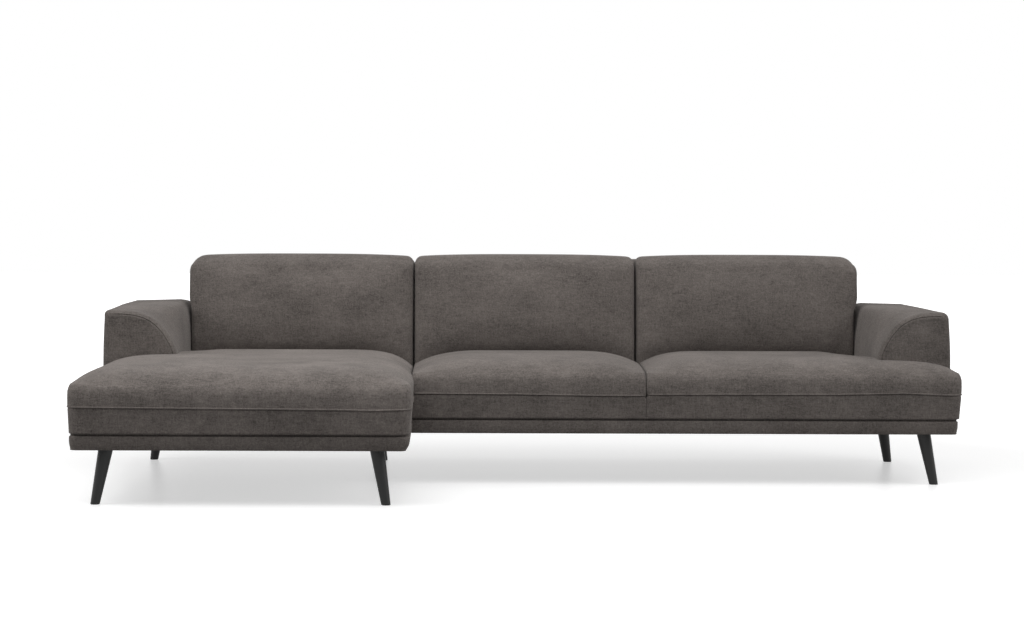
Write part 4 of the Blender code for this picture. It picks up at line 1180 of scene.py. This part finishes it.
class SOFA_OT_arms(bpy.types.Operator):
    """Make the two upholstered arms"""

    bl_idname = "sofa.arms"
    bl_label = "Make arms"

    def execute(self, context):
        for side, shape in (("left", LEFT_ARM), ("right", RIGHT_ARM)):
            arm = arm_surface("arm_" + side, shape)
            nodes = (side + "_arm", side + "_arm_panel")
            # The arms take the copy with painted shade.
            dress(arm, "upholstery_fabric", *nodes, panel="_arms", fill=0.95)
        return {"FINISHED"}


class SOFA_OT_backs(bpy.types.Operator):
    """Make the outer backs"""

    bl_idname = "sofa.backs"
    bl_label = "Make outer backs"

    def execute(self, context):
        for module in MODULES:
            node = module + "_back"
            back = padded_box("outer_" + node, low_corner(node), high_corner(node), 0.018, 0.003)
            dress(back, "upholstery_fabric", node, node + "_panel", fill=0.95)
        return {"FINISHED"}


class SOFA_OT_base(bpy.types.Operator):
    """Make the padded base boards"""

    bl_idname = "sofa.base"
    bl_label = "Make base boards"

    def execute(self, context):
        for module, free_left, swell in (("chaise", True, (0.003, 0.006)), ("sofa", False, (0.0, 0.0))):
            boards = [f"{module}_base_{side}" for side in BASE_SIDES]
            ring = base_ring(f"{module}_base_ring", boards, free_left, swell)
            dress(ring, "upholstery_fabric", *boards, fill=1.0)
        return {"FINISHED"}


class SOFA_OT_legs(bpy.types.Operator):
    """Make the six tapered legs"""

    bl_idname = "sofa.legs"
    bl_label = "Make legs"

    def execute(self, context):
        for mount in frame["record"]["mounts"]:
            node = mount["name"].replace("foot_", "leg_")
            leg = leg_surface(node, np.array(mount["pos_m"]))
            dress(leg, "black_wood", node)
        return {"FINISHED"}


class SOFA_OT_frame_finishes(bpy.types.Operator):
    """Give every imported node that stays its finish"""

    bl_idname = "sofa.frame_finishes"
    bl_label = "Finish frame parts"

    def execute(self, context):
        slots = {part["node"]: part["material_slot"] for part in frame["record"]["subparts"]}
        for node, piece in frame["nodes"].items():
            for slot in piece.material_slots:
                slot.material = bpy.data.materials["sofa_" + slots[node]]
        return {"FINISHED"}


class SOFA_OT_studio(bpy.types.Operator):
    """Make the floor, the lamps, the world and the camera"""

    bl_idname = "sofa.studio"
    bl_label = "Make studio"

    def execute(self, context):
        half = FLOOR_SIZE / 2.0
        corners = np.array([[-half, -half, 0.0], [half, -half, 0.0], [half, half, 0.0], [-half, half, 0.0]])
        floor = mesh_from("floor", corners, [(0, 1, 2, 3)])
        floor_material()
        floor.data.materials.append(bpy.data.materials["studio_floor"])
        make_world()
        for lamp in LAMPS:
            area_light(*lamp)
        make_camera()
        context.scene.view_settings.view_transform = "Standard"
        return {"FINISHED"}


class SOFA_PT_panel(bpy.types.Panel):
    """The sofa's sizes, colours and makers"""

    bl_label = "Sofa"
    bl_idname = "SOFA_PT_panel"
    bl_space_type = "VIEW_3D"
    bl_region_type = "UI"
    bl_category = "Sofa"

    def draw(self, context):
        for group in (context.scene.sofa_sizes, context.scene.sofa_colours):
            for name in group.__annotations__:
                self.layout.prop(group, name)
        for operator in MAKERS:
            self.layout.operator(operator.bl_idname)


MAKERS = (
    SOFA_OT_materials,
    SOFA_OT_seats,
    SOFA_OT_back_cushions,
    SOFA_OT_arms,
    SOFA_OT_backs,
    SOFA_OT_base,
    SOFA_OT_legs,
    SOFA_OT_frame_finishes,
    SOFA_OT_studio,
)
CLASSES = (SofaSizes, SofaColours, *MAKERS, SOFA_PT_panel)


def register():
    """Register the classes and the scene's settings."""
    for item in CLASSES:
        bpy.utils.register_class(item)
    bpy.types.Scene.sofa_sizes = PointerProperty(type=SofaSizes)
    bpy.types.Scene.sofa_colours = PointerProperty(type=SofaColours)


def unregister():
    """Take the classes and the settings out again."""
    del bpy.types.Scene.sofa_colours
    del bpy.types.Scene.sofa_sizes
    for item in reversed(CLASSES):
        bpy.utils.unregister_class(item)


def main():
    register()
    bpy.ops.sofa.materials()
    bpy.ops.sofa.seats()
    bpy.ops.sofa.back_cushions()
    bpy.ops.sofa.arms()
    bpy.ops.sofa.backs()
    bpy.ops.sofa.base()
    bpy.ops.sofa.legs()
    bpy.ops.sofa.frame_finishes()
    bpy.ops.sofa.studio()


if __name__ == "__main__":
    main()
